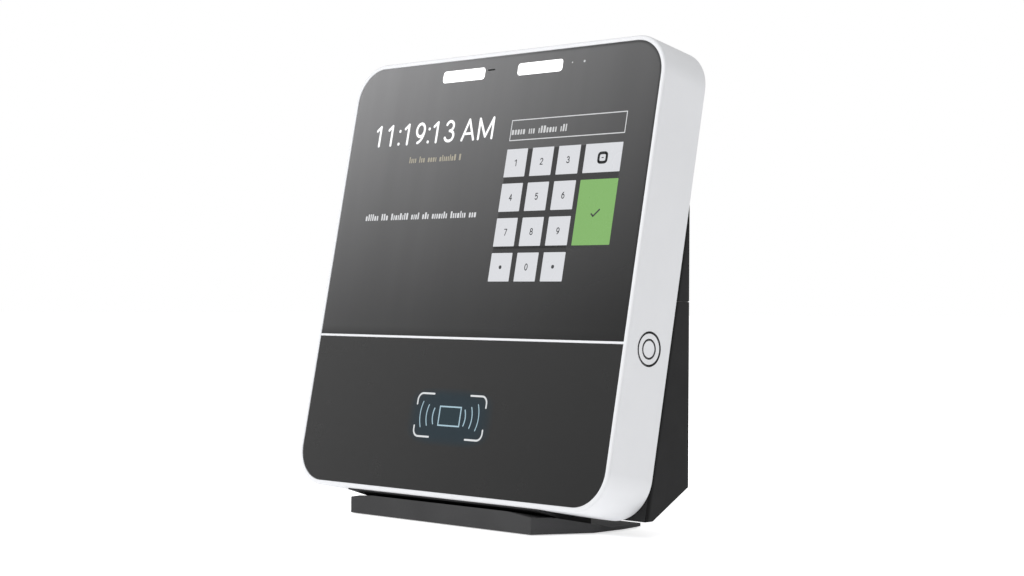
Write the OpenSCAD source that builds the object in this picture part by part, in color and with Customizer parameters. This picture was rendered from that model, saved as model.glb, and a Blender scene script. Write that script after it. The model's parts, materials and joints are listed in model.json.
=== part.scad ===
// Desk-standing attendance terminal: a leaning glass-fronted head in a white
// band, held by a dark wedge stand on a thin foot, with a round finger sensor
// button in the right-hand side of the band.
//
// Head pieces are drawn in the head's own frame, X across, Y back from the
// front plane and Z up the face, and head_place() leans them. Stand pieces are
// drawn from the head's bottom front edge, and stand_place() centres them.

/* [Head] */
// Width of the white band
head_w = 264; // [262:1:330]
// Height of the white band, measured up the leaning face
head_h = 274; // [274:1:340]
// Depth of the white band, front to back
head_d = 37; // [36:0.5:50]
// Outer corner radius of the band
corner_r = 24.5; // [18:0.5:36]
// Width of the white rim around the glass
rim_w = 3; // [2.5:0.25:6]
// Wall thickness of the band
wall = 2.5; // [2:0.1:2.75]
// Lean of the face back from the vertical, in degrees
lean = 11.5; // [10:0.25:12]

/* [Glass] */
// Thickness of the touch glass and of the reader cover
glass_t = 2; // [1.5:0.1:3]
// Depth of the glass face below the front of the rim
glass_recess = 0.4; // [0.2:0.1:1]
// Thickness of the foam seal behind the glass
gasket_t = 0.6; // [0.4:0.1:1]
// Width of the ledge that the glass is sealed to
seat_in = 6; // [4:0.5:8]
// Thickness of that ledge
seat_t = 2; // [1.5:0.5:3]
// Gap around each glass
glass_gap = 0.15; // [0.1:0.05:0.3]
// Height of the white dividing line up the face
split_v = 95.6; // [88:0.2:96]
// Width of the white dividing line
split_w = 1.4; // [1:0.1:3]
// Height of the rail behind the dividing line
rail_h = 13; // [10:0.5:16]

/* [Display] */
// Width of the display module
lcd_w = 229.5; // [180:0.5:229.5]
// Height of the display module
lcd_h = 149; // [110:0.5:149]
// Thickness of the display module
lcd_t = 4.5; // [3:0.5:6]
// Width of the lit area
active_w = 217; // [150:0.5:220]
// Height of the lit area
active_h = 136; // [90:0.5:140]
// Gap between the glass and the display
lcd_gap = 0.5; // [0.3:0.1:1]
// Thickness of the steel frame behind the display
frame_t = 1.2; // [1:0.1:2]

/* [Light bars] */
// Length of each white light bar
bar_w = 37; // [24:0.5:46]
// Height of each white light bar
bar_h = 7.4; // [5:0.1:7.6]
// Distance between the centres of the bars
bar_pitch = 65.2; // [60:0.1:80]
// Distance of the bars below the top of the band
bar_drop = 13; // [13:0.25:14]
// Distance of the presence sensor's two windows from the centre line
sensor_x = 63.7; // [62:0.1:70]

/* [Finger button] */
// Diameter of the round button
button_d = 18.2; // [15:0.2:22]
// Diameter of the sensor disc in the middle of the button
disc_d = 10.3; // [8:0.1:12]
// Gap around the button in the band
button_gap = 0.35; // [0.3:0.05:0.6]
// Distance that the button clicks in
button_travel = 0.8; // [0.4:0.1:1]
// Diameter of the button's stem
stem_d = 6; // [5:0.2:7.2]
// Radial running clearance of stems and hinge pins
running = 0.06; // [0.03:0.01:0.1]

/* [Electronics] */
// Width of the main board
board_w = 180; // [150:1:190]
// Height of the main board
board_h = 110; // [100:1:112]
// Thickness of the circuit boards
board_t = 1.6; // [1:0.2:2]
// Width of the recess that holds the sockets
bay_w = 130; // [108:1:140]

/* [Stand] */
// Distance of the stand's sides inside the band's sides
stand_inset = 1.5; // [0.5:0.25:3]
// Depth of the stand behind the head, measured at its foot
stand_depth = 37.7; // [36:0.1:46]
// Wall thickness of the stand
stand_wall = 3; // [2.5:0.25:4]
// Height of the seam between the stand's shell and its hood
seam_z = 132; // [128:1:136]
// Height where the back face turns into the sloping underside
slope_z = 26.5; // [22:0.5:28]
// Width of the cable door
door_w = 200; // [150:1:210]
// Height of the cable door
door_h = 88; // [70:1:90]
// Diameter of the door's hinge rod
rod_d = 3; // [2:0.5:4]

/* [Foot] */
// Width of the foot at its front edge
foot_front_w = 154; // [130:1:170]
// Greatest width of the foot
foot_w = 190; // [175:1:230]
// Distance that the foot reaches behind the stand
foot_out = 3.6; // [2:0.2:12]
// Height of the foot's front face
foot_h = 11.8; // [10:0.2:14]
// Thickness of the thin rear part of the foot
foot_tail = 2; // [2:0.25:3]
// Width of the neck between the foot and the head
neck_w = 162; // [140:1:170]
// Height of the rubber pads below the foot
pad_proud = 0.6; // [0.5:0.1:1.5]

/* [Hidden] */
$fn = 64;

over = 1;                 // how far a cut runs past the face it opens
fit_gap = 0.3;            // clearance between neighbours that only lie close
screw_gap = 0.02;         // radial clearance of a fixed shank in its hole
m3_r = 1.25;              // core radius of the M3 screw holes
m3_head_r = 2.8;
m3_head_t = 2;
m4_r = 1.65;              // core radius of the M4 screw holes

// Depths behind the front plane
seat_y = glass_recess + glass_t + gasket_t;
lcd_y = glass_recess + glass_t + lcd_gap;
frame_y = lcd_y + lcd_t + 0.2;
light_y = frame_y + 0.4;
board_y = frame_y + frame_t + 6.2;
board_back = board_y + board_t;
cover_t = 2.4;
cover_y = head_d - 0.5 - cover_t;
bay_t = 2;
bay_y = board_y - 3;

// Heights up the face
lcd_v = head_h - 18.5 - lcd_h / 2;
frame_h = lcd_h - 9;
bar_v = head_h - bar_drop;
mic_x = -8.7;
mic_v = bar_v + 1.7;
lcd_low = lcd_v - lcd_h / 2;
board_v = lcd_low + 9.5;
bay_top = board_v - 2;
bay_low = 34;
jack_v = board_v - 1.8;
speaker_x = -70;
speaker_r = 17;
speaker_v = head_h - 27;
button_v = split_v;
button_y = head_d / 2 + 0.3;

// Place of the head over the foot
span_y = head_h * sin(lean) + head_d * cos(lean);
neck_gap = 3.4;
head_z = pad_proud + foot_h + neck_gap - 0.6 * tan(lean);

// Stand outline
stand_w = head_w - 2 * stand_inset;
floor_z = head_z - head_d * sin(lean) + 1.1;
floor_y = head_d * cos(lean) + 6.7;
stand_back = head_d * cos(lean) + stand_depth;
apex_v = stand_depth / sin(lean);
apex_z = head_z + apex_v * cos(lean) - head_d * sin(lean);
seam_v = (seam_z - head_z) / cos(lean) + head_d * tan(lean);
tab = 16;
tab_t = 3;
exit_y = floor_y + 9;
exit_d = 12;

// Cable door
door_r = 4;
door_gap = 0.4;
door_top = seam_z - 10;
door_low = door_top - door_h;
hinge_y = stand_back - door_r;
hinge_z = door_top - door_gap - door_r;
lock_r = 5;
lock_z = door_low + 12;
plug_r = 3.4;
cam_t = 3;
lip_t = 3.4;
lip_y = stand_back - stand_wall - fit_gap - lip_t;
cam_y = lip_y - 0.8 - cam_t;

// Finger button, outwards from the head's centre
button_x = head_w / 2 - 0.1;
cap_t = 2.2;
guide_x = head_w / 2 - 13;
guide_t = 2;
clip_t = 0.8;
clip_r = stem_d / 2 + 1.8;
stem_end = guide_x - 3;
switch_x = stem_end - button_travel - fit_gap;
pillar_r = 2;
pillar_y = clip_r + 0.2 + pillar_r;
guide_screw_v = 14;

// Foot
foot_y = 0.6;
foot_d = stand_back + foot_out - foot_y;
thin_y = foot_y + (foot_h - foot_tail) / tan(lean);
screw_y = floor_y - 3.6;
foot_screw_x = [-60, 0, 60];
exit_w = 44;

// ---------------------------------------------------------------- helpers

module head_place()
    translate([0, -span_y / 2, head_z]) rotate([-lean, 0, 0]) children();

module stand_place()
    translate([0, -span_y / 2, 0]) children();

// Pushes a flat outline, X across and Y up the face, back from depth y0
module slab(y0, t)
    translate([0, y0 + t, 0]) rotate([90, 0, 0]) linear_extrude(t) children();

// Draws an outline of depth and height and gives it a width across X
module across(x0, w)
    translate([x0, 0, 0]) rotate([90, 0, 90]) linear_extrude(w) children();

// A round bar along the depth
module bar_y(r, y0, len)
    translate([0, y0 + len, 0]) rotate([90, 0, 0]) cylinder(r = r, h = len);

// A round bar along the width
module bar_x(r, x0, len)
    translate([x0, 0, 0]) rotate([0, 90, 0]) cylinder(r = r, h = len);

module rounded(w, h, r) {
    square([w - 2 * r, h], center = true);
    square([w, h - 2 * r], center = true);
    for (x = [-1, 1], y = [-1, 1])
        translate([x * (w / 2 - r), y * (h / 2 - r)]) circle(r);
}

// The band's outline, drawn in by a distance
module outline(inset)
    translate([0, head_h / 2])
        rounded(head_w - 2 * inset, head_h - 2 * inset, corner_r - inset);

// Half of the face above or below the dividing line, kept clear of it
module face_above(clear)
    translate([-head_w, split_v + clear]) square([2 * head_w, head_h]);

module face_below(clear)
    translate([-head_w, split_v - clear - head_h]) square([2 * head_w, head_h]);

module block(x0, x1, y0, y1, z0, z1)
    translate([x0, y0, z0]) cube([x1 - x0, y1 - y0, z1 - z0]);

// A machine screw along the depth, its head at the back
module screw_y(r, head_y, len) {
    bar_y(m3_head_r, head_y, m3_head_t);
    bar_y(r - screw_gap, head_y - len, len + over);
}

// Places of repeated features, as [x, height up the face]
post_in = 12;
function cover_points() =
    [for (x = [-1, 1], v = [post_in, seam_v - 8, head_h - post_in])
        [x * (head_w / 2 - post_in), v]];
function frame_points() =
    [for (x = [-1, 1], z = [-1, 1]) [x * (head_w / 2 - 13), lcd_v + z * 50]];
function light_points() = [for (x = [-1, 1]) [x * 82, head_h - 6.5]];
function standoff_points() =
    [for (x = [-1, 1], z = [-1, 1])
        [x * (board_w / 2 - 8), board_v + board_h / 2 + z * (board_h / 2 - 8)]];
function stand_points() =
    [for (x = [-1, 1], v = [seam_v - 82, seam_v - 29, seam_v + 10.5])
        [x * (stand_w / 2 - stand_wall - tab / 2), v]];
function bar_points() = [for (x = [-1, 1]) x * bar_pitch / 2];

// ------------------------------------------------------------ white band

// A boss that grows out of the band's side wall
module wall_post(p, r, y0, y1) {
    reach = head_w / 2 - abs(p[0]);
    slab(y0, y1 - y0) intersection() {
        outline(wall / 2);
        union() {
            translate(p) circle(r);
            translate([p[0] + (p[0] > 0 ? 0 : -reach), p[1] - r / 2]) square([reach, r]);
        }
    }
}

module bezel_frame() {
    color("whitesmoke") head_place() difference() {
        union() {
            difference() {
                slab(0, head_d) outline(0);
                slab(-over, head_d + 2 * over) outline(rim_w + seat_in);
                slab(-over, seat_y + over) outline(rim_w);
                slab(seat_y + seat_t, head_d) outline(wall);
            }
            slab(glass_recess / 2, seat_y + seat_t - glass_recess / 2) intersection() {
                outline(rim_w / 2);
                translate([0, split_v]) square([head_w, split_w], center = true);
            }
            slab(seat_y, seat_t) intersection() {
                outline(rim_w / 2);
                translate([0, split_v]) square([head_w, rail_h], center = true);
            }
            for (p = cover_points()) wall_post(p, 4, seat_y, cover_y);
            for (p = frame_points()) wall_post(p, 3.5, seat_y, frame_y);
            for (p = light_points())
                slab(seat_y, light_y - seat_y) translate(p) circle(2.5);
            for (z = [-1, 1]) translate([0, button_y, button_v + z * guide_screw_v])
                bar_x(3, guide_x + guide_t, head_w / 2 - wall / 2 - guide_x - guide_t);
        }
        for (p = cover_points())
            translate([p[0], 0, p[1]]) bar_y(m3_r, cover_y - 12, 12 + over);
        for (p = frame_points())
            translate([p[0], 0, p[1]]) bar_y(m3_r, seat_y + 0.6, frame_y);
        for (p = light_points())
            translate([p[0], 0, p[1]]) bar_y(m3_r, seat_y + 0.6, frame_y);
        translate([0, button_y, button_v])
            bar_x(button_d / 2 + button_gap, head_w / 2 - wall - 0.5, wall + 0.5 + over);
        for (z = [-1, 1]) translate([0, button_y, button_v + z * guide_screw_v])
            bar_x(m3_r, guide_x + guide_t - over, 9 + over);
    }
}

// ----------------------------------------------------------------- glass

module touch_glass() {
    color([0.10, 0.10, 0.11]) head_place() slab(glass_recess, glass_t) difference() {
        intersection() {
            outline(rim_w + glass_gap);
            face_above(split_w / 2 + glass_gap);
        }
        for (x = bar_points()) translate([x, bar_v])
            rounded(bar_w + 2 * glass_gap, bar_h + 2 * glass_gap, 2 + glass_gap);
        translate([mic_x, mic_v]) square([6, 1], center = true);
    }
}

module reader_cover() {
    color([0.09, 0.09, 0.10]) head_place() slab(glass_recess, glass_t) intersection() {
        outline(rim_w + glass_gap);
        face_below(split_w / 2 + glass_gap);
    }
}

// Foam rings around the back of each glass, as wide as the ledge
gasket_in = split_w / 2 + 0.5;
gasket_w = 4;

module screen_gasket() {
    color("dimgray") head_place() slab(glass_recess + glass_t, gasket_t) difference() {
        intersection() {
            outline(rim_w + 0.5);
            face_above(gasket_in);
        }
        intersection() {
            outline(rim_w + seat_in - 1);
            face_above(gasket_in + gasket_w);
        }
    }
}

module reader_gasket() {
    color("dimgray") head_place() slab(glass_recess + glass_t, gasket_t) difference() {
        intersection() {
            outline(rim_w + 0.5);
            face_below(gasket_in);
        }
        intersection() {
            outline(rim_w + seat_in - 1);
            face_below(gasket_in + gasket_w);
        }
    }
}

// ------------------------------------------------------------ light bars

module light_lens(x) {
    color("white") head_place() {
        slab(glass_recess + 0.1, light_y - glass_recess - 2.6)
            translate([x, bar_v]) rounded(bar_w, bar_h, 2);
        slab(light_y - 2.5, 1)
            translate([x, bar_v]) square([bar_w + 6, bar_h], center = true);
        for (s = [-1, 1]) slab(light_y - 1.6, 1.6)
            translate([x + s * (bar_w / 2 + 1.5), bar_v]) square([2, bar_h - 2], center = true);
    }
}

module left_light_lens() light_lens(-bar_pitch / 2);
module right_light_lens() light_lens(bar_pitch / 2);

module light_board() {
    color("darkgreen") head_place() slab(light_y, board_t) difference() {
        translate([0, bar_v + 1.5]) square([176, 15], center = true);
        for (p = light_points()) translate(p) circle(m3_r + 0.3);
    }
}

module light_leds() {
    color("khaki") head_place()
        for (x = bar_points(), k = [-1.5:1.5])
            translate([x + k * 8, light_y - 0.5, bar_v]) cube([3.5, 1, 2.8], center = true);
}

module microphone() {
    color("silver") head_place() translate([mic_x, 0, mic_v]) difference() {
        bar_y(2, glass_recess + glass_t + 0.2, light_y - glass_recess - glass_t - 0.2);
        bar_y(0.8, 0, light_y - 2);
    }
}

module presence_sensor() {
    color("black") head_place() translate([sensor_x, 0, bar_v + 0.9]) {
        block(-8, 8, light_y - 2.5, light_y, -2.6, 2.6);
        for (s = [-1, 1]) translate([s * 4.8, 0, 0]) bar_y(2, lcd_y, light_y - lcd_y - 2);
    }
}

// --------------------------------------------------------------- display

module display_panel() {
    color("darkslategray") head_place() slab(lcd_y, lcd_t)
        translate([0, lcd_v]) square([lcd_w, lcd_h], center = true);
}

module display_frame() {
    color("lightsteelblue") head_place() slab(frame_y, frame_t) difference() {
        translate([0, lcd_v]) rounded(head_w - 16, frame_h, 5);
        for (p = frame_points()) translate(p) circle(m3_r + 0.4);
        for (p = cover_points()) translate(p) circle(5);
        for (x = [-1, 1], z = [-1, 1])
            translate([x * 40, lcd_v + z * frame_h / 5]) rounded(62, frame_h / 4, 4);
    }
}

module display_screws() {
    color("silver") head_place() {
        for (p = frame_points())
            translate([p[0], 0, p[1]]) screw_y(m3_r, frame_y + frame_t, frame_y + frame_t - seat_y - 0.8);
        for (p = light_points())
            translate([p[0], 0, p[1]]) screw_y(m3_r, light_y + board_t, light_y + board_t - seat_y - 0.8);
    }
}

// A flat flexible ribbon through the given depths and heights
module ribbon(x, w, path) {
    t = 0.3;
    across(x - w / 2, w) for (i = [0:len(path) - 2]) {
        a = path[i];
        b = path[i + 1];
        translate(a) rotate(atan2(b[1] - a[1], b[0] - a[0]))
            translate([-t / 2, -t / 2]) square([norm(b - a) + t, t]);
    }
}

// The way every ribbon takes past the socket recess to the main board
function ribbon_end() =
    [[bay_y - 1.2, board_v - 8], [bay_y - 1.2, board_v + 3], [board_y - 1, board_v + 6]];

module display_ribbon()
    color("chocolate") head_place()
        ribbon(50, 30, concat([[lcd_y + 2, lcd_low - 0.2], [lcd_y + 2, lcd_low - 3],
                               [frame_y + 1, lcd_low - 2.5]], ribbon_end()));

module touch_ribbon()
    color("chocolate") head_place()
        ribbon(0, 12, concat([[seat_y - gasket_t + 0.2, split_v + rail_h / 2 + 2.5],
                              [seat_y - gasket_t + 0.2, split_v + rail_h / 2 + 1],
                              [frame_y, split_v + rail_h / 2 + 1]], ribbon_end()));

// ------------------------------------------------------------ card reader

reader_v = split_v / 2;
reader_w = 150;
reader_h = split_v - 38;
reader_y = seat_y + 3.5;

module antenna_board() {
    color("darkgreen") head_place() slab(reader_y, board_t) difference() {
        translate([0, reader_v]) rounded(reader_w, reader_h, 3);
        translate([0, reader_v]) square([52, 26], center = true);
    }
}

module antenna_coil() {
    color("orange") head_place() slab(reader_y + board_t, 0.2)
        for (k = [0:3]) translate([0, reader_v]) difference() {
            rounded(reader_w - 8 - 6 * k, reader_h - 6 - 5 * k, 4);
            rounded(reader_w - 10 - 6 * k, reader_h - 8 - 5 * k, 3);
        }
}

module symbol_light_guide() {
    color("white") head_place() {
        slab(lcd_y, reader_y - lcd_y)
            translate([0, reader_v]) rounded(66, 34, 3);
    }
}

module reader_ribbon()
    color("chocolate") head_place()
        ribbon(-50, 16, concat([[reader_y + board_t + 0.4, reader_v + reader_h / 2 - 6],
                                [reader_y + board_t + 0.4, split_v - 4]], ribbon_end()));

// ------------------------------------------------------------- main board

module main_board() {
    color("darkgreen") head_place() difference() {
        slab(board_y, board_t) translate([0, board_v + board_h / 2])
            square([board_w, board_h], center = true);
        for (p = standoff_points())
            translate([p[0], 0, p[1]]) bar_y(m3_r + 0.3, board_y - over, board_t + 2 * over);
    }
}

module board_standoffs() {
    color("goldenrod") head_place() for (p = standoff_points())
        translate([p[0], 0, p[1]]) difference() {
            translate([0, board_y, 0]) rotate([90, 0, 0])
                cylinder(r = 3.1, h = board_y - frame_y - frame_t, $fn = 6);
            bar_y(m3_r, board_y - 5, 5 + over);
        }
}

module board_screws() {
    color("silver") head_place() for (p = standoff_points())
        translate([p[0], 0, p[1]]) screw_y(m3_r, board_back, board_t + 4);
}

chip = 17;
chip_t = 1.6;
sink = 46;
sink_x = 30;
sink_v = board_v + 62;

module processor() {
    color([0.15, 0.15, 0.15]) head_place() translate([sink_x, 0, sink_v])
        block(-chip / 2, chip / 2, board_back, board_back + chip_t, -chip / 2, chip / 2);
}

module heat_sink() {
    base_y = board_back + chip_t;
    fins = 8;
    fin_t = 1.4;
    color("silver") head_place() translate([sink_x, 0, sink_v]) {
        block(-sink / 2, sink / 2, base_y, base_y + 2, -sink / 2, sink / 2);
        for (k = [0:fins - 1]) translate([-sink / 2 + k * (sink - fin_t) / (fins - 1), 0, 0])
            block(0, fin_t, base_y, base_y + 9, -sink / 2, sink / 2);
    }
}

ethernet_x = -34;
usb_x = 0;
power_x = 30;

module ethernet_jack() {
    color("silver") head_place() translate([ethernet_x, board_back, jack_v]) difference() {
        block(-8, 8, 0, 13.4, 0, 21);
        block(-6, 6, 2.6, 9.6, -over, 13);
        block(-3, 3, 9, 11.4, -over, 13);
    }
}

module usb_jack() {
    color("silver") head_place() translate([usb_x, board_back, jack_v]) difference() {
        block(-7.3, 7.3, 0, 7, 0, 14);
        block(-6.2, 6.2, 3, 6, -over, 11);
        block(-6.2, 6.2, 1, 1.8, -over, 11);
    }
}

module power_jack() {
    color([0.12, 0.12, 0.12]) head_place() translate([power_x, board_back, jack_v]) difference() {
        block(-4.6, 4.6, 0, 11, 0, 14);
        translate([0, 6.3, 0]) difference() {
            translate([0, 0, -over]) cylinder(r = 3.2, h = 9.5 + over);
            translate([0, 0, 1]) cylinder(r = 1, h = 9);
        }
    }
}

cell_r = 10;
cell_x = -55;
cell_v = board_v + 66;

module battery_holder() {
    color([0.15, 0.15, 0.15]) head_place() translate([cell_x, 0, cell_v]) difference() {
        bar_y(cell_r + 2, board_back, 4.6);
        bar_y(cell_r + 0.1, board_back + 1, 5);
        block(-4, 4, board_back + 1, board_back + 6, 0, 20);
    }
}

module backup_battery() {
    color("silver") head_place() translate([cell_x, 0, cell_v])
        bar_y(cell_r, board_back + 1, 3.2);
}

// ---------------------------------------------------------------- speaker

module speaker_basket() {
    depth = 8;
    color([0.2, 0.2, 0.2]) head_place() translate([speaker_x, 0, speaker_v]) difference() {
        union() {
            bar_y(speaker_r, cover_y - 1.5, 1.5);
            bar_y(speaker_r - 3, cover_y - depth, depth);
        }
        bar_y(speaker_r - 4.5, cover_y - depth + 1.5, depth);
    }
}

module speaker_cone() {
    color([0.1, 0.1, 0.1]) head_place() translate([speaker_x, cover_y - 0.8, speaker_v])
        rotate([90, 0, 0]) rotate_extrude()
            polygon([[0, 4.6], [4, 4.6], [speaker_r - 4.8, 0.4], [speaker_r - 4.8, 0],
                     [4, 4], [0, 4]]);
}

module speaker_magnet() {
    color("gray") head_place() translate([speaker_x, 0, speaker_v])
        bar_y(speaker_r - 7, cover_y - 13, 5);
}

// ------------------------------------------------------------- rear cover

bay_floor = bay_y + bay_t;

module rear_cover() {
    cover_in = wall + 0.2;
    vent_low = max(200, apex_v + 12);
    color([0.16, 0.16, 0.17]) head_place() difference() {
        union() {
            slab(cover_y, cover_t) outline(cover_in);
            block(-bay_w / 2 - bay_t, bay_w / 2 + bay_t, bay_y, cover_y + cover_t / 2,
                  bay_low - bay_t, bay_top + bay_t);
            for (p = stand_points())
                translate([p[0], 0, p[1]]) bar_y(4.5, cover_y - 6, head_d - cover_y + 6);
        }
        block(-bay_w / 2, bay_w / 2, bay_floor, head_d + over, bay_low, bay_top);
        translate([0, 0, bay_top - over]) {
            block(ethernet_x - 8.3, ethernet_x + 8.3, board_y - 0.5, board_back + 13.7, 0, bay_t + 2);
            block(usb_x - 7.6, usb_x + 7.6, board_y - 0.5, board_back + 7.3, 0, bay_t + 2);
            block(power_x - 4.9, power_x + 4.9, board_y - 0.5, board_back + 11.3, 0, bay_t + 2);
        }
        for (p = cover_points()) translate([p[0], 0, p[1]])
            bar_y(m3_r + 0.4, cover_y - over, cover_t + 2 * over);
        for (p = stand_points()) translate([p[0], 0, p[1]])
            bar_y(m3_r, cover_y - 5, head_d);
        for (k = [-7:7]) translate([k * 8, 0, 0])
            block(-1.5, 1.5, cover_y - over, head_d + over, vent_low, vent_low + 22);
        for (k = [-4:4]) translate([speaker_x, 0, speaker_v + k * 2.8])
            block(-sqrt(144 - 7.8 * k * k), sqrt(144 - 7.8 * k * k),
                  cover_y - over, head_d + over, -0.6, 0.6);
    }
}

module cover_screws() {
    color("silver") head_place() for (p = cover_points())
        translate([p[0], 0, p[1]]) screw_y(m3_r, cover_y + cover_t, cover_t + 9);
}

// ----------------------------------------------------------- finger button

module button_place()
    head_place() translate([0, button_y, button_v]) children();

module finger_button() {
    color("whitesmoke") button_place() difference() {
        union() {
            bar_x(button_d / 2, button_x - cap_t, cap_t);
            bar_x(stem_d / 2, stem_end, button_x - stem_end - cap_t / 2);
        }
        bar_x(disc_d / 2 + 0.2, button_x - 1.6, 1.6 + over);
        difference() {
            bar_x(stem_d / 2 + over, guide_x - fit_gap - clip_t, clip_t);
            bar_x(stem_d / 2 - 0.8, guide_x - fit_gap - clip_t - over, clip_t + 2 * over);
        }
    }
}

module finger_sensor() {
    color("ghostwhite") button_place() bar_x(disc_d / 2, button_x - 1, 0.9);
}

module sensor_board() {
    color("darkgreen") button_place() bar_x(disc_d / 2 - 0.3, button_x - 1.6, 0.6);
}

module button_clip() {
    color("silver") button_place() difference() {
        bar_x(clip_r, guide_x - fit_gap - clip_t + 0.05, clip_t - 0.1);
        bar_x(stem_d / 2 - 0.75, guide_x - fit_gap - clip_t - over, clip_t + 2 * over);
        block(guide_x - 4, guide_x, -1.6, 1.6, 0, 10);
    }
}

module button_guide() {
    half_v = guide_screw_v + 4;
    half_y = pillar_y + 1.5;
    color("ivory") button_place() difference() {
        union() {
            block(guide_x, guide_x + guide_t, -half_y, half_y, -half_v, half_v);
            bar_x(stem_d / 2 + 2, guide_x, guide_t + 3);
            for (y = [-pillar_y, pillar_y]) translate([0, y, 0]) {
                bar_x(pillar_r, switch_x - 5, guide_x - switch_x + 5);
                bar_x(pillar_r / 2, switch_x - 5 - board_t, guide_x - switch_x);
            }
        }
        bar_x(stem_d / 2 + running, guide_x - over, guide_t + 3 + 2 * over);
        for (z = [-1, 1]) translate([0, 0, z * guide_screw_v])
            bar_x(m3_r + 0.3, guide_x - over, guide_t + 2 * over);
    }
}

module guide_screws() {
    color("silver") button_place() for (z = [-1, 1]) translate([0, 0, z * guide_screw_v]) {
        bar_x(m3_head_r, guide_x - m3_head_t, m3_head_t);
        bar_x(m3_r - screw_gap, guide_x - over, guide_t + over + 8);
    }
}

// Points of the round wire at one station of the coil
function wire_ring(a, x, r, wire) =
    [for (k = [0:5])
        [x + wire * sin(60 * k), (r + wire * cos(60 * k)) * cos(a), (r + wire * cos(60 * k)) * sin(a)]];

module return_spring() {
    wire = 0.3;
    coil_r = stem_d / 2 + 0.9;
    low = guide_x + guide_t + 3 + wire + 0.05;
    high = button_x - cap_t - wire - 0.05;
    end_pitch = 2 * wire + 0.05;
    turns = 3;
    steps = 16 * (turns + 2);
    pitch = (high - low - 2 * end_pitch) / turns;
    rings = [for (i = [0:steps])
        let (t = i / 16, open = min(turns, max(0, t - 1)))
        wire_ring(360 * t, low + (t - open) * end_pitch + open * pitch, coil_r, wire)];
    faces = concat(
        [[for (k = [5:-1:0]) k]],
        [for (i = [0:steps - 1], k = [0:5])
            [i * 6 + k, i * 6 + (k + 1) % 6, (i + 1) * 6 + (k + 1) % 6, (i + 1) * 6 + k]],
        [[for (k = [0:5]) steps * 6 + k]]);
    color("silver") button_place() polyhedron([for (ring = rings) for (p = ring) p], faces);
}

module button_board() {
    color("darkgreen") button_place() difference() {
        block(switch_x - 5 - board_t, switch_x - 5, -pillar_y - 3, pillar_y + 3, -6, 6);
        for (y = [-pillar_y, pillar_y]) translate([0, y, 0])
            bar_x(pillar_r / 2 + 0.05, switch_x - 6 - board_t, board_t + 2);
    }
}

module tact_switch() {
    color([0.2, 0.2, 0.2]) button_place() {
        block(switch_x - 5, switch_x - 1.6, -3.1, 3.1, -3.1, 3.1);
        bar_x(1.7, switch_x - 1.7, 1.7);
    }
}

// ------------------------------------------------------------------ stand

// Depth of the head's rear plane at a height above the desk
function rear_at(z) =
    head_d * cos(lean) + (z - head_z + head_d * sin(lean)) * tan(lean);

// The stand's side outline, drawn in by its wall
module wedge(inset)
    polygon([[rear_at(floor_z + inset) - (inset > 0 ? 20 : 0), floor_z + inset],
             [floor_y - inset * 0.25, floor_z + inset],
             [stand_back - inset, slope_z + inset * 0.85],
             [stand_back - inset, apex_z - (inset > 0 ? inset / tan(lean) : 0)],
             [rear_at(apex_z) - (inset > 0 ? 20 : 0), apex_z - (inset > 0 ? inset / tan(lean) : 0)]]);

module wedge_walls() {
    difference() {
        across(-stand_w / 2, stand_w) wedge(0);
        across(-stand_w / 2 + stand_wall, stand_w - 2 * stand_wall) wedge(stand_wall);
    }
}

// Fixing tabs against the rear cover, in the head's frame
module tabs(low, high)
    for (p = stand_points()) if (p[1] > low && p[1] < high)
        translate([p[0], 0, p[1]])
            block(-tab / 2 - 0.5, tab / 2 + 0.5, head_d, head_d + tab_t, -tab / 2, tab / 2);

module tab_holes()
    for (p = stand_points())
        translate([p[0], 0, p[1]]) bar_y(m3_r + 0.4, head_d - over, tab_t + 2 * over);

// Closes the stand's front behind the head's lower corners
module corner_flange() {
    intersection() {
        across(-stand_w / 2, stand_w) wedge(0);
        translate([0, 0, head_z]) rotate([-lean, 0, 0]) difference() {
            slab(head_d, tab_t) difference() {
                translate([-stand_w / 2, -over]) square([stand_w, 1.4 * corner_r]);
                outline(wall + 3.5);
            }
            for (p = cover_points()) if (p[1] == post_in)
                translate([p[0], 0, p[1]])
                    bar_y(m3_head_r + fit_gap, head_d - over, tab_t + 2 * over);
        }
    }
}

module stand_shell() {
    color([0.17, 0.17, 0.17]) stand_place() difference() {
        union() {
            intersection() {
                wedge_walls();
                block(-head_w, head_w, 0, 2 * stand_back, 0, seam_z - 0.2);
            }
            for (x = [-1, 1]) translate([x * (door_w / 2 + 6), 0, 0])
                block(-5, 5, hinge_y - 5, stand_back - stand_wall / 2, hinge_z - 5, hinge_z + 5);
            block(-door_w / 2 + 5, door_w / 2 - 5, lip_y, lip_y + lip_t, door_low - 3, door_low + 4);
            block(-door_w / 2 + 5, door_w / 2 - 5, lip_y, stand_back - 1, door_low - 4, door_low - 1);
            translate([0, 0, head_z]) rotate([-lean, 0, 0]) tabs(0, seam_v);
            corner_flange();
        }
        translate([0, 0, head_z]) rotate([-lean, 0, 0]) tab_holes();
        block(-door_w / 2, door_w / 2, stand_back - stand_wall - fit_gap, stand_back + over,
              door_low, door_top);
        translate([0, hinge_y, hinge_z])
            bar_x(rod_d / 2 + screw_gap, -door_w / 2 - 10, door_w + 20);
        for (x = foot_screw_x) translate([x, screw_y, floor_z - over])
            cylinder(r = m4_r, h = 12);
        block(-exit_w / 2, exit_w / 2, exit_y, exit_y + exit_d, 0, 40);
    }
}

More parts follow.
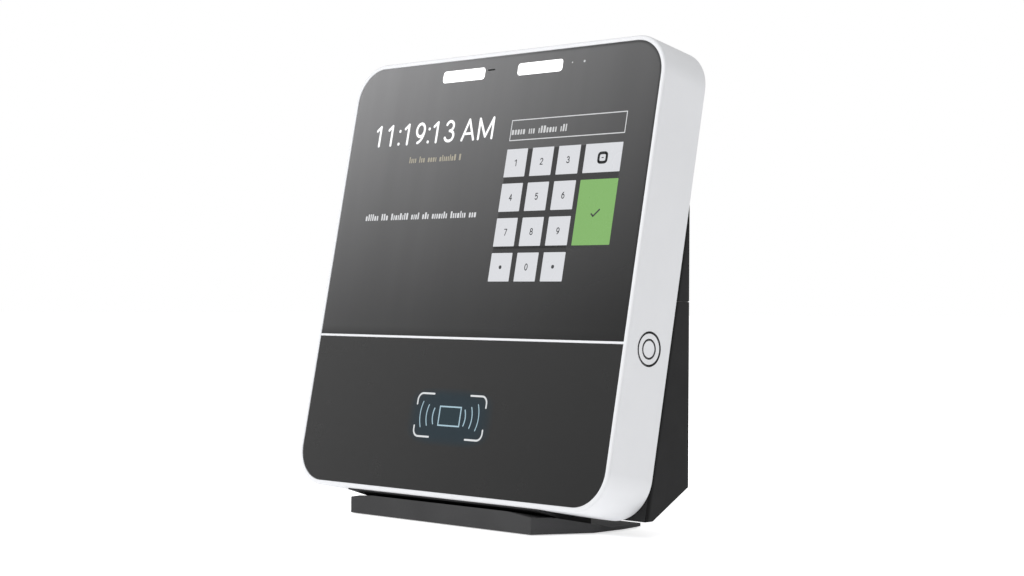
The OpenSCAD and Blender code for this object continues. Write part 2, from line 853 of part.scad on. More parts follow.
module stand_hood() {
    tongue = 5;
    slip = 0.2;
    side = stand_w / 2 - stand_wall - slip;
    back = stand_back - stand_wall - slip;
    front = rear_at(seam_z + 6) + fit_gap;
    color([0.17, 0.17, 0.17]) stand_place() {
        difference() {
            union() {
                intersection() {
                    wedge_walls();
                    block(-head_w, head_w, 0, 2 * stand_back, seam_z + 0.2, apex_z + 10);
                }
                translate([0, 0, head_z]) rotate([-lean, 0, 0]) tabs(seam_v, head_h);
                for (m = [0, 1]) mirror([m, 0, 0]) {
                    block(door_w / 2 - 22, side, back - 2, back, seam_z - tongue, seam_z + 6);
                    block(door_w / 2 - 22, side, back - 2, back + 1, seam_z + 1, seam_z + 6);
                    block(side - 2, side, front, back, seam_z - tongue, seam_z + 6);
                    block(side - 2, side + 1, front, back, seam_z + 1, seam_z + 6);
                }
            }
            translate([0, 0, head_z]) rotate([-lean, 0, 0]) tab_holes();
        }
    }
}

module stand_screws() {
    color("silver") head_place() for (p = stand_points())
        translate([p[0], 0, p[1]]) screw_y(m3_r, head_d + tab_t, tab_t + 5);
}

// ------------------------------------------------------------- cable door

module door_place()
    stand_place() translate([0, 0, lock_z]) children();

module cable_door() {
    side = door_w / 2 - door_gap;
    color([0.17, 0.17, 0.17]) stand_place() difference() {
        union() {
            block(-side, side, stand_back - stand_wall, stand_back, door_low + door_gap, hinge_z);
            translate([0, hinge_y, hinge_z]) bar_x(door_r, -side, 2 * side);
        }
        translate([0, hinge_y, hinge_z])
            bar_x(rod_d / 2 + running, -side - over, 2 * side + 2 * over);
        translate([0, 0, lock_z])
            bar_y(lock_r + 0.05, stand_back - stand_wall - over, stand_wall + 2 * over);
        for (k = [-5:5]) translate([k * 12, 0, 0])
            block(-1.5, 1.5, stand_back - stand_wall - over, stand_back + over,
                  hinge_z - 34, hinge_z - 12);
    }
}

module hinge_rod() {
    color("silver") stand_place() translate([0, hinge_y, hinge_z])
        bar_x(rod_d / 2, -door_w / 2 - 9, door_w + 18);
}

module lock_body() {
    color("silver") door_place() difference() {
        union() {
            bar_y(lock_r + 2.5, stand_back, 1.5);
            bar_y(lock_r, cam_y + cam_t + 0.2, stand_back - cam_y - cam_t);
        }
        bar_y(plug_r + running, cam_y, stand_back);
    }
}

module lock_nut() {
    color("gray") door_place() difference() {
        translate([0, stand_back - stand_wall, 0]) rotate([90, 0, 0])
            cylinder(r = lock_r + 2.4, h = 2.5, $fn = 6);
        bar_y(lock_r + screw_gap, stand_back - 10, 20);
    }
}

module lock_plug() {
    color("silver") door_place() difference() {
        union() {
            bar_y(plug_r, cam_y + cam_t + 0.1, stand_back + 1.6 - cam_y - cam_t);
            block(-1.8, 1.8, cam_y + 0.2, cam_y + cam_t + over, -1.8, 1.8);
        }
        block(-0.6, 0.6, stand_back - 2, stand_back + 4, -2.2, 2.2);
        bar_y(1, cam_y - over, 7);
    }
}

module lock_cam() {
    color("gray") door_place() difference() {
        union() {
            bar_y(5, cam_y, cam_t);
            block(0, 17, cam_y, cam_y + cam_t, -4, 4);
        }
        block(-1.85, 1.85, cam_y - over, cam_y + cam_t + over, -1.85, 1.85);
    }
}

module cam_screw() {
    color("silver") door_place() {
        bar_y(3, cam_y - 2, 2);
        bar_y(1 - screw_gap, cam_y - 1, 6);
    }
}

// ------------------------------------------------------------------- foot

// Height of the foot's top and of the band's underside at a depth
function foot_top(y) = max(pad_proud + foot_tail, pad_proud + foot_h - (y - foot_y) * tan(lean));
function under_at(y) = head_z - y * tan(lean);

module foot_outline() {
    flare = 33;
    polygon([[-foot_front_w / 2, foot_y], [foot_front_w / 2, foot_y],
             [foot_w / 2, foot_y + flare], [foot_w / 2, foot_y + foot_d - 19],
             [foot_w / 2 - 3, foot_y + foot_d], [-foot_w / 2 + 3, foot_y + foot_d],
             [-foot_w / 2, foot_y + foot_d - 19], [-foot_w / 2, foot_y + flare]]);
}

// The foot seen from the front: its top falls away towards both corners
module foot_front() {
    drop = 2;
    run = 19;
    edge = foot_front_w / 2 - run;
    side = foot_w / 2;
    top = pad_proud + foot_h;
    polygon([[-side, 0], [side, 0], [side, top - drop * (side - edge) / run], [edge, top],
             [-edge, top], [-side, top - drop * (side - edge) / run]]);
}

pad_t = 1.6;
pad_r = 8;
pad_x = [-60, 60];
pad_y = foot_y + 64;
desk_x = 62;
desk_y = [foot_y + 11, foot_y + 25];

module foot_plate() {
    end_y = foot_y + foot_d;
    color([0.25, 0.25, 0.26]) stand_place() difference() {
        intersection() {
            translate([0, 0, pad_proud]) linear_extrude(foot_h) foot_outline();
            across(-foot_w, 2 * foot_w)
                polygon([[foot_y, pad_proud], [foot_y, foot_top(foot_y)],
                         [thin_y, foot_top(thin_y)], [end_y, foot_top(end_y)], [end_y, pad_proud]]);
            slab(0, 2 * foot_d) foot_front();
        }
        for (x = foot_screw_x) translate([x, screw_y, 0]) {
            cylinder(r = m4_r + 0.5, h = 20);
            cylinder(r = 4.3, h = pad_proud + 2);
        }
        for (x = [-desk_x, desk_x], y = desk_y) translate([x, y, -over])
            cylinder(r = m4_r, h = pad_proud + over + 5);
        block(-50.2, 50.2, foot_y + 4.8, foot_y + 19.2, -over, pad_t);
        for (x = pad_x) translate([x, pad_y, -over])
            cylinder(r = pad_r + 0.2, h = over + pad_proud + 1);
    }
}

module neck_block() {
    low_y = 1.5;
    lip = 0.9;
    slope = 17.4;
    meet = low_y + (under_at(low_y) - lip - foot_top(low_y)) / (tan(slope) - tan(lean));
    color([0.14, 0.14, 0.14]) stand_place() difference() {
        across(-neck_w / 2, neck_w)
            polygon([[low_y, under_at(low_y)], [low_y, under_at(low_y) - lip],
                     [meet, foot_top(meet)], [floor_y + 4, foot_top(floor_y + 4)],
                     [floor_y + 4, floor_z], [rear_at(floor_z), floor_z],
                     [head_d * cos(lean), head_z - head_d * sin(lean)]]);
        for (x = foot_screw_x) translate([x, screw_y, 0]) cylinder(r = m4_r + 0.5, h = 20);
    }
}

module foot_screws() {
    color("silver") stand_place() for (x = foot_screw_x) translate([x, screw_y, 0]) {
        translate([0, 0, pad_proud]) cylinder(r = 4, h = 2);
        translate([0, 0, pad_proud + 1]) cylinder(r = m4_r - screw_gap, h = floor_z + 2 - pad_proud);
    }
}

module front_pad() {
    color([0.1, 0.1, 0.1]) stand_place() block(-50, 50, foot_y + 5, foot_y + 19, 0, pad_t);
}

module rear_pads() {
    color([0.1, 0.1, 0.1]) stand_place()
        for (x = pad_x) translate([x, pad_y, 0]) cylinder(r = pad_r, h = pad_proud + 1);
}

bezel_frame();
touch_glass();
reader_cover();
screen_gasket();
reader_gasket();
left_light_lens();
right_light_lens();
light_board();
light_leds();
microphone();
presence_sensor();
display_panel();
display_frame();
display_screws();
display_ribbon();
touch_ribbon();
antenna_board();
antenna_coil();
symbol_light_guide();
reader_ribbon();
main_board();
board_standoffs();
board_screws();
processor();
heat_sink();
ethernet_jack();
usb_jack();
power_jack();
battery_holder();
backup_battery();
speaker_basket();
speaker_cone();
speaker_magnet();
rear_cover();
cover_screws();
finger_button();
finger_sensor();
sensor_board();
button_clip();
button_guide();
guide_screws();
return_spring();
button_board();
tact_switch();
stand_shell();
stand_hood();
stand_screws();
cable_door();
hinge_rod();
lock_body();
lock_nut();
lock_plug();
lock_cam();
cam_screw();
neck_block();
foot_plate();
foot_screws();
front_pad();
rear_pads();
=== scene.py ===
"""Looks of the desk-standing attendance terminal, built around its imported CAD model."""

import json
import math
import random

import bmesh
import bpy
import numpy as np
from mathutils import Matrix, Vector


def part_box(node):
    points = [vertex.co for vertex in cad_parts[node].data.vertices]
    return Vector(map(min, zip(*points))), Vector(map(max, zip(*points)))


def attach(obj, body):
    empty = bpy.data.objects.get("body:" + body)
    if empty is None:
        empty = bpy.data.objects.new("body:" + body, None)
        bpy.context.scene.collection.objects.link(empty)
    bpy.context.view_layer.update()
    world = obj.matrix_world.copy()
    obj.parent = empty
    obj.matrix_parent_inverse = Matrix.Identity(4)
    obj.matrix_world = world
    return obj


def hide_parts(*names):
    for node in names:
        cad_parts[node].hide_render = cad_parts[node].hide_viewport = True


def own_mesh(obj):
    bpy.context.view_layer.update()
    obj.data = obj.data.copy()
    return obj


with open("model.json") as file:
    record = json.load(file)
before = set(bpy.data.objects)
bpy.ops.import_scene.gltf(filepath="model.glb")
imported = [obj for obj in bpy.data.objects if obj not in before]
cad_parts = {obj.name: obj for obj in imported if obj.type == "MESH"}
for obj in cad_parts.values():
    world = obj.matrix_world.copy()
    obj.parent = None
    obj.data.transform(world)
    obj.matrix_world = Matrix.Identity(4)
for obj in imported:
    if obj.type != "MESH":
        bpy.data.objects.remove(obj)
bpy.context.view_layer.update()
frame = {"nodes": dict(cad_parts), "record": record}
nodes = frame["nodes"]
record = frame["record"]
body_of_node = {n: body for body, group in record["behaviour"]["bodies"].items() for n in group}
slot_of_node = {part["node"]: part["material_slot"] for part in record["subparts"]}

MM = 0.001
LEAN = math.radians(11.5)


# ------------------------------------------------------------ where things are

def head_frame():
    """The leaning head's own axes and its width, height and depth.

    X runs across, Y back from the front plane and Z up the face.
    """
    low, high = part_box("bezel_frame")
    size = high - low
    s, c = math.sin(LEAN), math.cos(LEAN)
    height = (size.z * c - size.y * s) / (c * c - s * s)
    depth = (size.y * c - size.z * s) / (c * c - s * s)
    place = Matrix.Translation((0, low.y, low.z + depth * s)) @ Matrix.Rotation(-LEAN, 4, "X")
    return place, size.x, height, depth


HEAD, HEAD_W, HEAD_H, HEAD_D = head_frame()
FLAT = Matrix.Identity(4)


def points_of(node, place=FLAT):
    """A CAD node's points in a given frame, as an array."""
    co = np.array([v.co for v in nodes[node].data.vertices])
    inverse = np.array(place.inverted())
    return co @ inverse[:3, :3].T + inverse[:3, 3]


def local_box(node, place=HEAD):
    """Lowest and highest corner of a CAD node in a given frame."""
    co = points_of(node, place)
    return Vector(co.min(0)), Vector(co.max(0))


def islands(node, place=HEAD):
    """The boxes of a CAD node's separate solids, in a given frame."""
    mesh = bmesh.new()
    mesh.from_mesh(nodes[node].data)
    bmesh.ops.remove_doubles(mesh, verts=mesh.verts, dist=1e-6)
    mesh.transform(place.inverted())
    left = set(mesh.verts)
    boxes = []
    while left:
        stack = [next(v for v in mesh.verts if v in left)]
        left.discard(stack[0])
        found = []
        while stack:
            vert = stack.pop()
            found.append(vert.co.copy())
            for edge in vert.link_edges:
                other = edge.other_vert(vert)
                if other in left:
                    left.discard(other)
                    stack.append(other)
        co = np.array(found)
        boxes.append((Vector(co.min(0)), Vector(co.max(0))))
    mesh.free()
    return boxes


# ------------------------------------------------------------ shader expressions

class Value:
    """An output socket; arithmetic on it adds Math nodes to its material."""

    def __init__(self, finish, socket):
        self.finish = finish
        self.socket = socket

    def math(self, operation, *inputs):
        return self.finish.node("ShaderNodeMath", {"operation": operation}, dict(enumerate(inputs)))

    def __add__(self, other):
        return self.math("ADD", self, other)

    __radd__ = __add__

    def __sub__(self, other):
        return self.math("SUBTRACT", self, other)

    def __rsub__(self, other):
        return self.math("SUBTRACT", other, self)

    def __mul__(self, other):
        return self.math("MULTIPLY", self, other)

    __rmul__ = __mul__

    def __truediv__(self, other):
        return self.math("DIVIDE", self, other)

    def __pow__(self, other):
        return self.math("POWER", self, other)

    def ramp(self, low, high):
        """0 below low, 1 above high, smooth between."""
        return self.finish.node(
            "ShaderNodeMapRange",
            {"interpolation_type": "SMOOTHSTEP"},
            {"Value": self, "From Min": low, "From Max": high},
        )


class Finish:
    """A material on a Principled shader, with its nodes added by name."""

    def __init__(self, name, **fixed):
        self.material = bpy.data.materials.new(name)
        self.material.use_nodes = True
        self.tree = self.material.node_tree
        self.shader = self.tree.nodes["Principled BSDF"]
        for key, value in fixed.items():
            self.feed(key.replace("_", " ").title().replace("Ior", "IOR"), value)

    def node(self, kind, settings=None, inputs=None, output=0):
        """Adds a node, its settings first, then the values or links of its sockets."""
        made = self.tree.nodes.new(kind)
        for key, value in (settings or {}).items():
            setattr(made, key, value)
        for key, value in (inputs or {}).items():
            self.link(made.inputs[key], value)
        return Value(self, made.outputs[output])

    def link(self, socket, value):
        if isinstance(value, Value):
            self.tree.links.new(value.socket, socket)
        elif isinstance(value, tuple) and len(value) == 3 and socket.type == "RGBA":
            socket.default_value = (*value, 1)
        else:
            socket.default_value = value

    def feed(self, name, value):
        self.link(self.shader.inputs[name], value)

    def place(self):
        """The point on the piece, in its own frame."""
        return self.node("ShaderNodeTexCoord", output="Object")

    def axes(self):
        """The point's three coordinates."""
        split = self.node("ShaderNodeSeparateXYZ", None, {"Vector": self.place()})
        return [Value(self, out) for out in split.socket.node.outputs]

    def clamped(self, value):
        """A value kept between 0 and 1."""
        return self.node("ShaderNodeClamp", None, {"Value": value})

    def scaled(self, factors):
        """The point with each coordinate multiplied, to draw a pattern out along one way."""
        return self.node("ShaderNodeVectorMath", {"operation": "MULTIPLY"}, {0: self.place(), 1: factors})

    def noise(self, scale, detail=3.0, rough=0.5, at=None):
        """Soft noise from 0 to 1, scale waves to a metre."""
        return self.node(
            "ShaderNodeTexNoise",
            {"noise_dimensions": "3D"},
            {"Vector": at or self.place(), "Scale": scale, "Detail": detail, "Roughness": rough},
        )

    def cells(self, scale):
        """Distance from the nearest of many scattered points."""
        return self.node("ShaderNodeTexVoronoi", None, {"Vector": self.place(), "Scale": scale}, "Distance")

    def attribute(self, name):
        return self.node("ShaderNodeAttribute", {"attribute_name": name}, None, "Fac")

    def mix(self, factor, first, second):
        """A colour between two colours."""
        made = self.node("ShaderNodeMix", {"data_type": "RGBA"}, None, 2).socket.node
        for socket, value in ((made.inputs[0], factor), (made.inputs[6], first), (made.inputs[7], second)):
            self.link(socket, value)
        return Value(self, made.outputs[2])

    def bump(self, height, depth):
        """Relief of that depth in metres."""
        normal = self.node(
            "ShaderNodeBump", None, {"Height": height, "Distance": depth, "Strength": 1.0}, "Normal"
        )
        self.feed("Normal", normal)


MIRRORED = 0.030      # what polished black shows of the white room
FRONT_GAIN = 0.765    # base colour that gives a brightness of 1 on the lit face
BLACK = (0.0, 0.0, 0.0)
RIM_WIDTH = 3 * MM
GLASS_CORNER = 21.5 * MM
BAND_CORNER = 24.5 * MM


def shade(colour, factor):
    return tuple(min(1.0, c * factor) for c in colour)


def moulded(name, colour, rough, grain, depth, mottle, wear, join_shadow=False, **fixed):
    """Moulded plastic or paint: a fine grain, faint mottling and edges rubbed lighter and smoother.

    The sides of a piece that meets the head's back can get a painted shadow along the join.
    """
    finish = Finish(name, **fixed)
    fine = finish.noise(grain, 4.0, 0.6)
    broad = finish.noise(22, 4.0, 0.55)
    edge = finish.attribute("edge") * finish.noise(160, 3.0, 0.6).ramp(0.42, 0.66)
    base = finish.mix(broad.ramp(0.3, 0.7), shade(colour, 1 - mottle), shade(colour, 1 + mottle))
    worn = finish.mix(0.5, colour, (0.5, 0.5, 0.5))
    shown = finish.mix(edge * wear * 0.5, base, worn)
    # Painted shadow: the piece's sides darken to black within a few millimetres behind the head's back.
    if join_shadow:
        across, back, up = finish.axes()
        front = HEAD.translation
        behind = (back - front.y) * math.cos(LEAN) - (up - front.z) * math.sin(LEAN) - HEAD_D
        side = (across * across).ramp((HEAD_W / 2 - 2.0 * MM) ** 2, (HEAD_W / 2 - 1.6 * MM) ** 2)
        shown = finish.mix(side * (1 - behind.ramp(1.0 * MM, 4.5 * MM)), shown, BLACK)
    finish.feed("Base Color", shown)
    smudge = finish.noise(38, 5.0, 0.6).ramp(0.45, 0.75)
    finish.feed("Roughness", rough + (fine - 0.5) * 0.12 + smudge * 0.05 - edge * 0.1 * wear)
    finish.bump(fine + broad * 0.3, depth * MM)
    return finish.material


def metal(name, colour, rough, along, tarnish=0.12):
    """Plated or drawn metal: fine lines along one way and cloudy tarnish."""
    finish = Finish(name, metallic=1.0)
    lines = finish.noise(90, 5.0, 0.7, finish.scaled(along))
    cloud = finish.noise(70, 4.0, 0.6).ramp(0.35, 0.75)
    base = finish.mix(cloud, colour, shade(colour, 1 - 2 * tarnish))
    finish.feed("Base Color", finish.mix(lines * 0.3, base, shade(colour, 1.15)))
    finish.feed("Roughness", rough + (lines - 0.5) * 0.22 + cloud * tarnish)
    finish.bump(lines, 0.02 * MM)
    return finish.material


def circuit(name, colour):
    """A solder-masked board: tracks under the mask, tinned pads and plated holes."""
    finish = Finish(name, metallic=0.0)
    grid = finish.node(
        "ShaderNodeTexBrick",
        {"offset": 0.37, "offset_frequency": 3, "squash": 2.2, "squash_frequency": 2},
        {
            "Vector": finish.place(),
            "Color1": (0.0, 0.0, 0.0),
            "Color2": (0.25, 0.25, 0.25),
            "Mortar": (1.0, 1.0, 1.0),
            "Scale": 260.0,
            "Mortar Size": 0.03,
        },
        "Fac",
    )
    pads = 1 - finish.cells(330).ramp(0.14, 0.2)
    scattered = pads * finish.noise(60, 2.0).ramp(0.52, 0.58)
    mask = finish.mix(grid, colour, shade(colour, 2.0))
    mask = finish.mix(finish.noise(30).ramp(0.3, 0.8) * 0.3, mask, shade(colour, 0.6))
    finish.feed("Base Color", finish.mix(scattered, mask, (0.72, 0.7, 0.66)))
    finish.feed("Metallic", scattered * 0.9)
    finish.feed("Roughness", 0.34 - scattered * 0.08 + finish.noise(900) * 0.08)
    finish.bump(grid * 0.5 + scattered, 0.03 * MM)
    return finish.material


def lit(name, colour, strength, base):
    """A lit part of the screen or a lens, with the fine dot grid of a display."""
    finish = Finish(name, roughness=0.3, emission_strength=strength)
    dots = finish.cells(3200).ramp(0.1, 0.6)
    cloud = finish.noise(45, 3.0).ramp(0.3, 0.7)
    finish.feed("Base Color", finish.mix(cloud * 0.4, shade(colour, base), shade(colour, base * 0.9)))
    finish.feed("Emission Color", finish.mix(dots * 0.04 + cloud * 0.05, colour, shade(colour, 0.8)))
    finish.feed("Roughness", 0.25 + cloud * 0.06)
    return finish.material


def painted_face_sheen(finish, low_v, high_v, low, high, fall):
    """Painted sheen: the white room's reflection painted into the colour, rising from low to high up the face
    and falling off from left to right, less the share that the glass itself mirrors.
    """
    across, _, up = finish.axes()
    rise = finish.clamped((up - low_v) / (high_v - low_v)) ** 1.2
    side = finish.clamped((across + HEAD_W / 2) / HEAD_W)
    return (low + rise * (high - low)) * (1 - side * fall) - MIRRORED


def rim_distance(finish):
    """How far the point lies inside the white rim around the face."""
    across, _, up = finish.axes()
    from_middle = up - HEAD_H / 2
    past_x = across.math("ABSOLUTE", across) - (HEAD_W / 2 - RIM_WIDTH - GLASS_CORNER)
    past_z = from_middle.math("ABSOLUTE", from_middle) - (HEAD_H / 2 - RIM_WIDTH - GLASS_CORNER)
    round_x = past_x.math("MAXIMUM", past_x, 0.0)
    round_z = past_z.math("MAXIMUM", past_z, 0.0)
    outside = (round_x * round_x + round_z * round_z) ** 0.5
    inside = past_x.math("MINIMUM", past_x.math("MAXIMUM", past_x, past_z), 0.0)
    return GLASS_CORNER - outside - inside


def screen_glass(name):
    """Black-backed touch glass: a painted sheen that fades down the face, with faint streaks in it, a painted
    highlight along its left edge and painted shade along the rim on the right; finger marks in its gloss.
    """
    finish = Finish(name, ior=1.5, coat_roughness=0.05)
    painted_sheen = painted_face_sheen(finish, 0.105, 0.267, 0.088, 0.302, 0.57)
    # Faint streaks in the painted sheen.
    streak = finish.noise(30, 3.0, 0.5, finish.scaled((1.8, 1, 0.14)))
    across, _, up = finish.axes()
    # Painted highlight: the sheen is lifted a little along the glass's left edge, and it fades out at the
    # bottom of the glass.
    edge = 1 - ((across + HEAD_W / 2) / 0.03).ramp(0.1, 1.0)
    lift = (1 + (streak - 0.5) * 0.22 + edge * 0.06) * ((up - 0.0955) / 0.008).ramp(-0.7, 1.0)
    # Painted shade: the sheen is darkened along the rim, on the right-hand side of the glass.
    rim_shade = 1 - rim_distance(finish).ramp(0.2 * MM, 2.4 * MM)
    painted_sheen = painted_sheen * lift * (1 - rim_shade * across.ramp(-0.06, 0.1) * 0.6)
    finish.feed("Base Color", finish.mix(painted_sheen, BLACK, (FRONT_GAIN, FRONT_GAIN, FRONT_GAIN * 1.015)))
    marks = finish.noise(52, 6.0, 0.62).ramp(0.5, 0.72)
    finish.feed("Roughness", 0.18 + marks * 0.08)
    finish.feed("Coat Weight", 0.1 - marks * 0.05)
    finish.bump(finish.noise(9, 2.0) + finish.noise(1500, 2.0) * 0.1, 0.002 * MM)
    return finish.material


def reader_panel(name, centre_v):
    """The black cover over the card reader, with a painted sheen and the dark blue glow of its lit target."""
    finish = Finish(name, ior=1.5, emission_strength=1.0, coat_roughness=0.05)
    across, _, up = finish.axes()
    wide = (across - 0.0006) / 0.034
    tall = (up - centre_v) / 0.0165
    glow = 1 - (wide * wide * wide * wide + tall * tall * tall * tall).ramp(0.1, 1.5)
    cloud = finish.noise(120, 3.0)
    # Painted sheen: the room's reflection painted into the colour, dimmer where the target glows.
    painted_sheen = painted_face_sheen(finish, 0.0, 0.095, 0.0515, 0.0625, 0.27)
    painted_sheen = painted_sheen * (0.94 + cloud * 0.12) * (1 - glow * 0.75)
    finish.feed("Base Color", finish.mix(painted_sheen, BLACK, (FRONT_GAIN, FRONT_GAIN, FRONT_GAIN)))
    finish.feed("Emission Color", finish.mix(glow * (0.8 + cloud * 0.4), BLACK, (0.0, 0.014, 0.024)))
    marks = finish.noise(48, 6.0, 0.62).ramp(0.52, 0.74)
    finish.feed("Roughness", 0.22 + marks * 0.08)
    finish.feed("Coat Weight", 0.1 - marks * 0.05)
    finish.bump(finish.noise(11, 2.0) + finish.noise(1500, 2.0) * 0.1, 0.002 * MM)
    return finish.material


def foam_finish(name, colour, scale, depth):
    """Foam or rubber with open pores."""
    finish = Finish(name, specular_ior_level=0.3)
    pores = finish.cells(scale)
    cloud = finish.noise(60, 4.0)
    finish.feed("Base Color", finish.mix(pores * 0.7 + cloud * 0.3, shade(colour, 0.6), shade(colour, 1.25)))
    finish.feed("Roughness", 0.72 + cloud * 0.2)
    finish.bump(pores, depth * MM)
    return finish.material


def fibrous(name, colour):
    """Pressed paper with its fibres."""
    finish = Finish(name, specular_ior_level=0.25)
    fibres = finish.noise(700, 6.0, 0.75, finish.scaled((1, 2.5, 1)))
    finish.feed("Base Color", finish.mix(fibres, shade(colour, 0.5), shade(colour, 1.8)))
    finish.feed("Roughness", 0.75 + fibres * 0.2)
    finish.bump(fibres, 0.08 * MM)
    return finish.material


reader_low, reader_high = local_box("symbol_light_guide")
READER_V = (reader_low.z + reader_high.z) / 2

finishes = {
    "white_band": moulded("band_white", (0.72, 0.728, 0.745), 0.42, 900, 0.004, 0.012, 0.1),
    "sensor_face": moulded("sensor_white", (0.73, 0.74, 0.76), 0.3, 2600, 0.004, 0.015, 0.1),
    "black_glass": screen_glass("touch_glass_black"),
    "reader_black": reader_panel("reader_black", READER_V),
    "light_lens": lit("lens_white", (1.0, 1.0, 1.0), 1.1, 0.8),
    "display_can": metal("display_can_steel", (0.55, 0.56, 0.57), 0.35, (30, 1, 1)),
    # The stand's black gets the painted shadow along its join with the head's back.
    "stand_plastic": moulded(
        "stand_black", (0.020, 0.020, 0.0205), 0.6, 1500, 0.04, 0.1, 0.3, True, specular_ior_level=0.13
    ),
    "cover_plastic": moulded(
        "cover_black", (0.028, 0.028, 0.029), 0.55, 1500, 0.04, 0.1, 0.3, specular_ior_level=0.3
    ),
    "foot_metal": moulded(
        "foot_powder_coat", (0.052, 0.052, 0.053), 0.62, 1100, 0.05, 0.09, 0.4, specular_ior_level=0.08
    ),
    "rubber_pad": foam_finish("pad_rubber", (0.03, 0.03, 0.03), 1600, 0.04),
    "foam": foam_finish("seal_foam", (0.12, 0.12, 0.12), 1400, 0.1),
    "board_green": circuit("board_green", (0.02, 0.13, 0.06)),
    "copper_track": metal("coil_copper", (0.75, 0.38, 0.2), 0.3, (1, 1, 1)),
    "led_body": moulded("led_phosphor", (0.85, 0.78, 0.42), 0.3, 1500, 0.01, 0.06, 0.1),
    "black_moulding": moulded("part_black", (0.022, 0.022, 0.023), 0.42, 1800, 0.02, 0.08, 0.2),
    "ribbon_amber": moulded("ribbon_amber", (0.42, 0.17, 0.03), 0.28, 700, 0.01, 0.1, 0.1),
    "sheet_steel": metal("frame_zinc", (0.6, 0.61, 0.62), 0.38, (30, 1, 1), 0.16),
    "screw_steel": metal("screw_zinc", (0.56, 0.57, 0.59), 0.3, (4, 4, 4), 0.14),
    "brass_standoff": metal("standoff_brass", (0.75, 0.56, 0.24), 0.28, (1, 12, 1)),
    "sink_aluminium": metal("sink_aluminium", (0.66, 0.67, 0.68), 0.4, (1, 1, 30)),
    "jack_shell": metal("jack_nickel", (0.68, 0.67, 0.65), 0.25, (1, 20, 1)),
    "cell_steel": metal("cell_stainless", (0.62, 0.62, 0.62), 0.2, (1, 1, 1)),
    "speaker_black": moulded("speaker_black", (0.03, 0.03, 0.03), 0.5, 1400, 0.03, 0.08, 0.2),
    "speaker_paper": fibrous("speaker_paper", (0.03, 0.03, 0.033)),
    "magnet_steel": moulded("magnet_ferrite", (0.11, 0.11, 0.115), 0.6, 900, 0.08, 0.15, 0.3, metallic=0.4),
    "guide_nylon": moulded("guide_nylon", (0.68, 0.66, 0.58), 0.4, 1200, 0.02, 0.05, 0.1),
    "lock_chrome": metal("lock_chrome", (0.72, 0.73, 0.74), 0.14, (1, 1, 1), 0.06),
    "lock_zinc": metal("lock_zinc", (0.5, 0.51, 0.52), 0.36, (20, 1, 1), 0.16),
}
# Painted shade: near-black for the chamfers round the finger button's hole, its cap and its sensor, standing
# for the shade in those grooves; the microphone's cloth is black itself.
groove_shade_and_cloth_black = moulded("groove_shade_and_cloth_black", (0.012, 0.012, 0.013), 0.5, 1500, 0.02, 0.08, 0.1)
key_white = lit("key_white", (0.70, 0.71, 0.74), 0.85, 0.12)
key_green = lit("key_green", (0.235, 0.475, 0.145), 0.80, 0.12)
key_backing = lit("key_backing", (0.034, 0.034, 0.035), 0.8, 0.2)
key_ink = moulded("key_ink", (0.035, 0.037, 0.04), 0.4, 2600, 0.004, 0.1, 0.1)
text_white = lit("text_white", (0.95, 0.955, 0.96), 1.0, 0.2)
text_beige = lit("text_beige", (0.36, 0.33, 0.26), 0.9, 0.2)
text_soft = lit("text_soft", (0.62, 0.625, 0.64), 0.9, 0.2)
text_grey = lit("text_grey", (0.55, 0.555, 0.56), 0.9, 0.2)
line_white = lit("line_white", (0.62, 0.63, 0.64), 0.9, 0.2)
target_white = lit("target_white", (0.64, 0.655, 0.67), 0.9, 0.2)
target_blue = lit("target_blue", (0.37, 0.52, 0.60), 0.9, 0.15)
target_teal = lit("target_teal", (0.008, 0.030, 0.042), 0.7, 0.1)
contact_gold = metal("contact_gold", (0.83, 0.62, 0.24), 0.22, (1, 1, 20), 0.06)

for node, piece in nodes.items():
    finish = finishes[slot_of_node[node]]
    if not piece.data.materials:
        piece.data.materials.append(finish)
    for place in piece.material_slots:
        place.material = finish


# ------------------------------------------------------------ making pieces

def piece_from(mesh, name, finish, body, place=FLAT, stands_for=(), angle=32, soft=True):
    """Turns a bmesh drawn in a given frame into a piece that rides on a CAD body."""
    bmesh.ops.recalc_face_normals(mesh, faces=mesh.faces)
    data = bpy.data.meshes.new(name)
    for face in mesh.faces:
        face.smooth = True
    mesh.to_mesh(data)
    mesh.free()
    data.set_sharp_from_angle(angle=math.radians(angle))
    for one in finish if isinstance(finish, list) else [finish]:
        data.materials.append(one)
    piece = bpy.data.objects.new(name, data)
    bpy.context.scene.collection.objects.link(piece)
    piece.matrix_world = place
    if soft:
        weighted = piece.modifiers.new("even_normals", "WEIGHTED_NORMAL")
        weighted.keep_sharp = True
    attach(piece, body)
    if stands_for:
        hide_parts(*stands_for)
    return piece


SHARP = 30    # degrees between two faces from which their edge is rounded
ROOM = 2.2    # how many radii long the edges next to a rounded one have to be


def mark_edges(mesh, faces):
    """Stores which faces are rounded edges, for the wear in the finishes."""
    layer = mesh.faces.layers.float.get("edge") or mesh.faces.layers.float.new("edge")
    for face in faces:
        if face.is_valid:
            face[layer] = 1.0


def soften(mesh, radius, segments):
    """Rounds every sharp edge that has room for it."""
    def has_room(edge):
        near = [e for vert in edge.verts for e in vert.link_edges if e is not edge]
        bent = [e for e in near if len(e.link_faces) == 2 and e.calc_face_angle(0) > math.radians(8)]
        return all(e.calc_length() > ROOM * radius for e in bent)

    sharp = [
        e
        for e in mesh.edges
        if len(e.link_faces) == 2 and e.calc_face_angle(0) > math.radians(SHARP) and has_room(e)
    ]
    made = bmesh.ops.bevel(
        mesh, geom=sharp, offset=radius, segments=segments, profile=0.5, affect="EDGES", clamp_overlap=True
    )
    mark_edges(mesh, made["faces"])


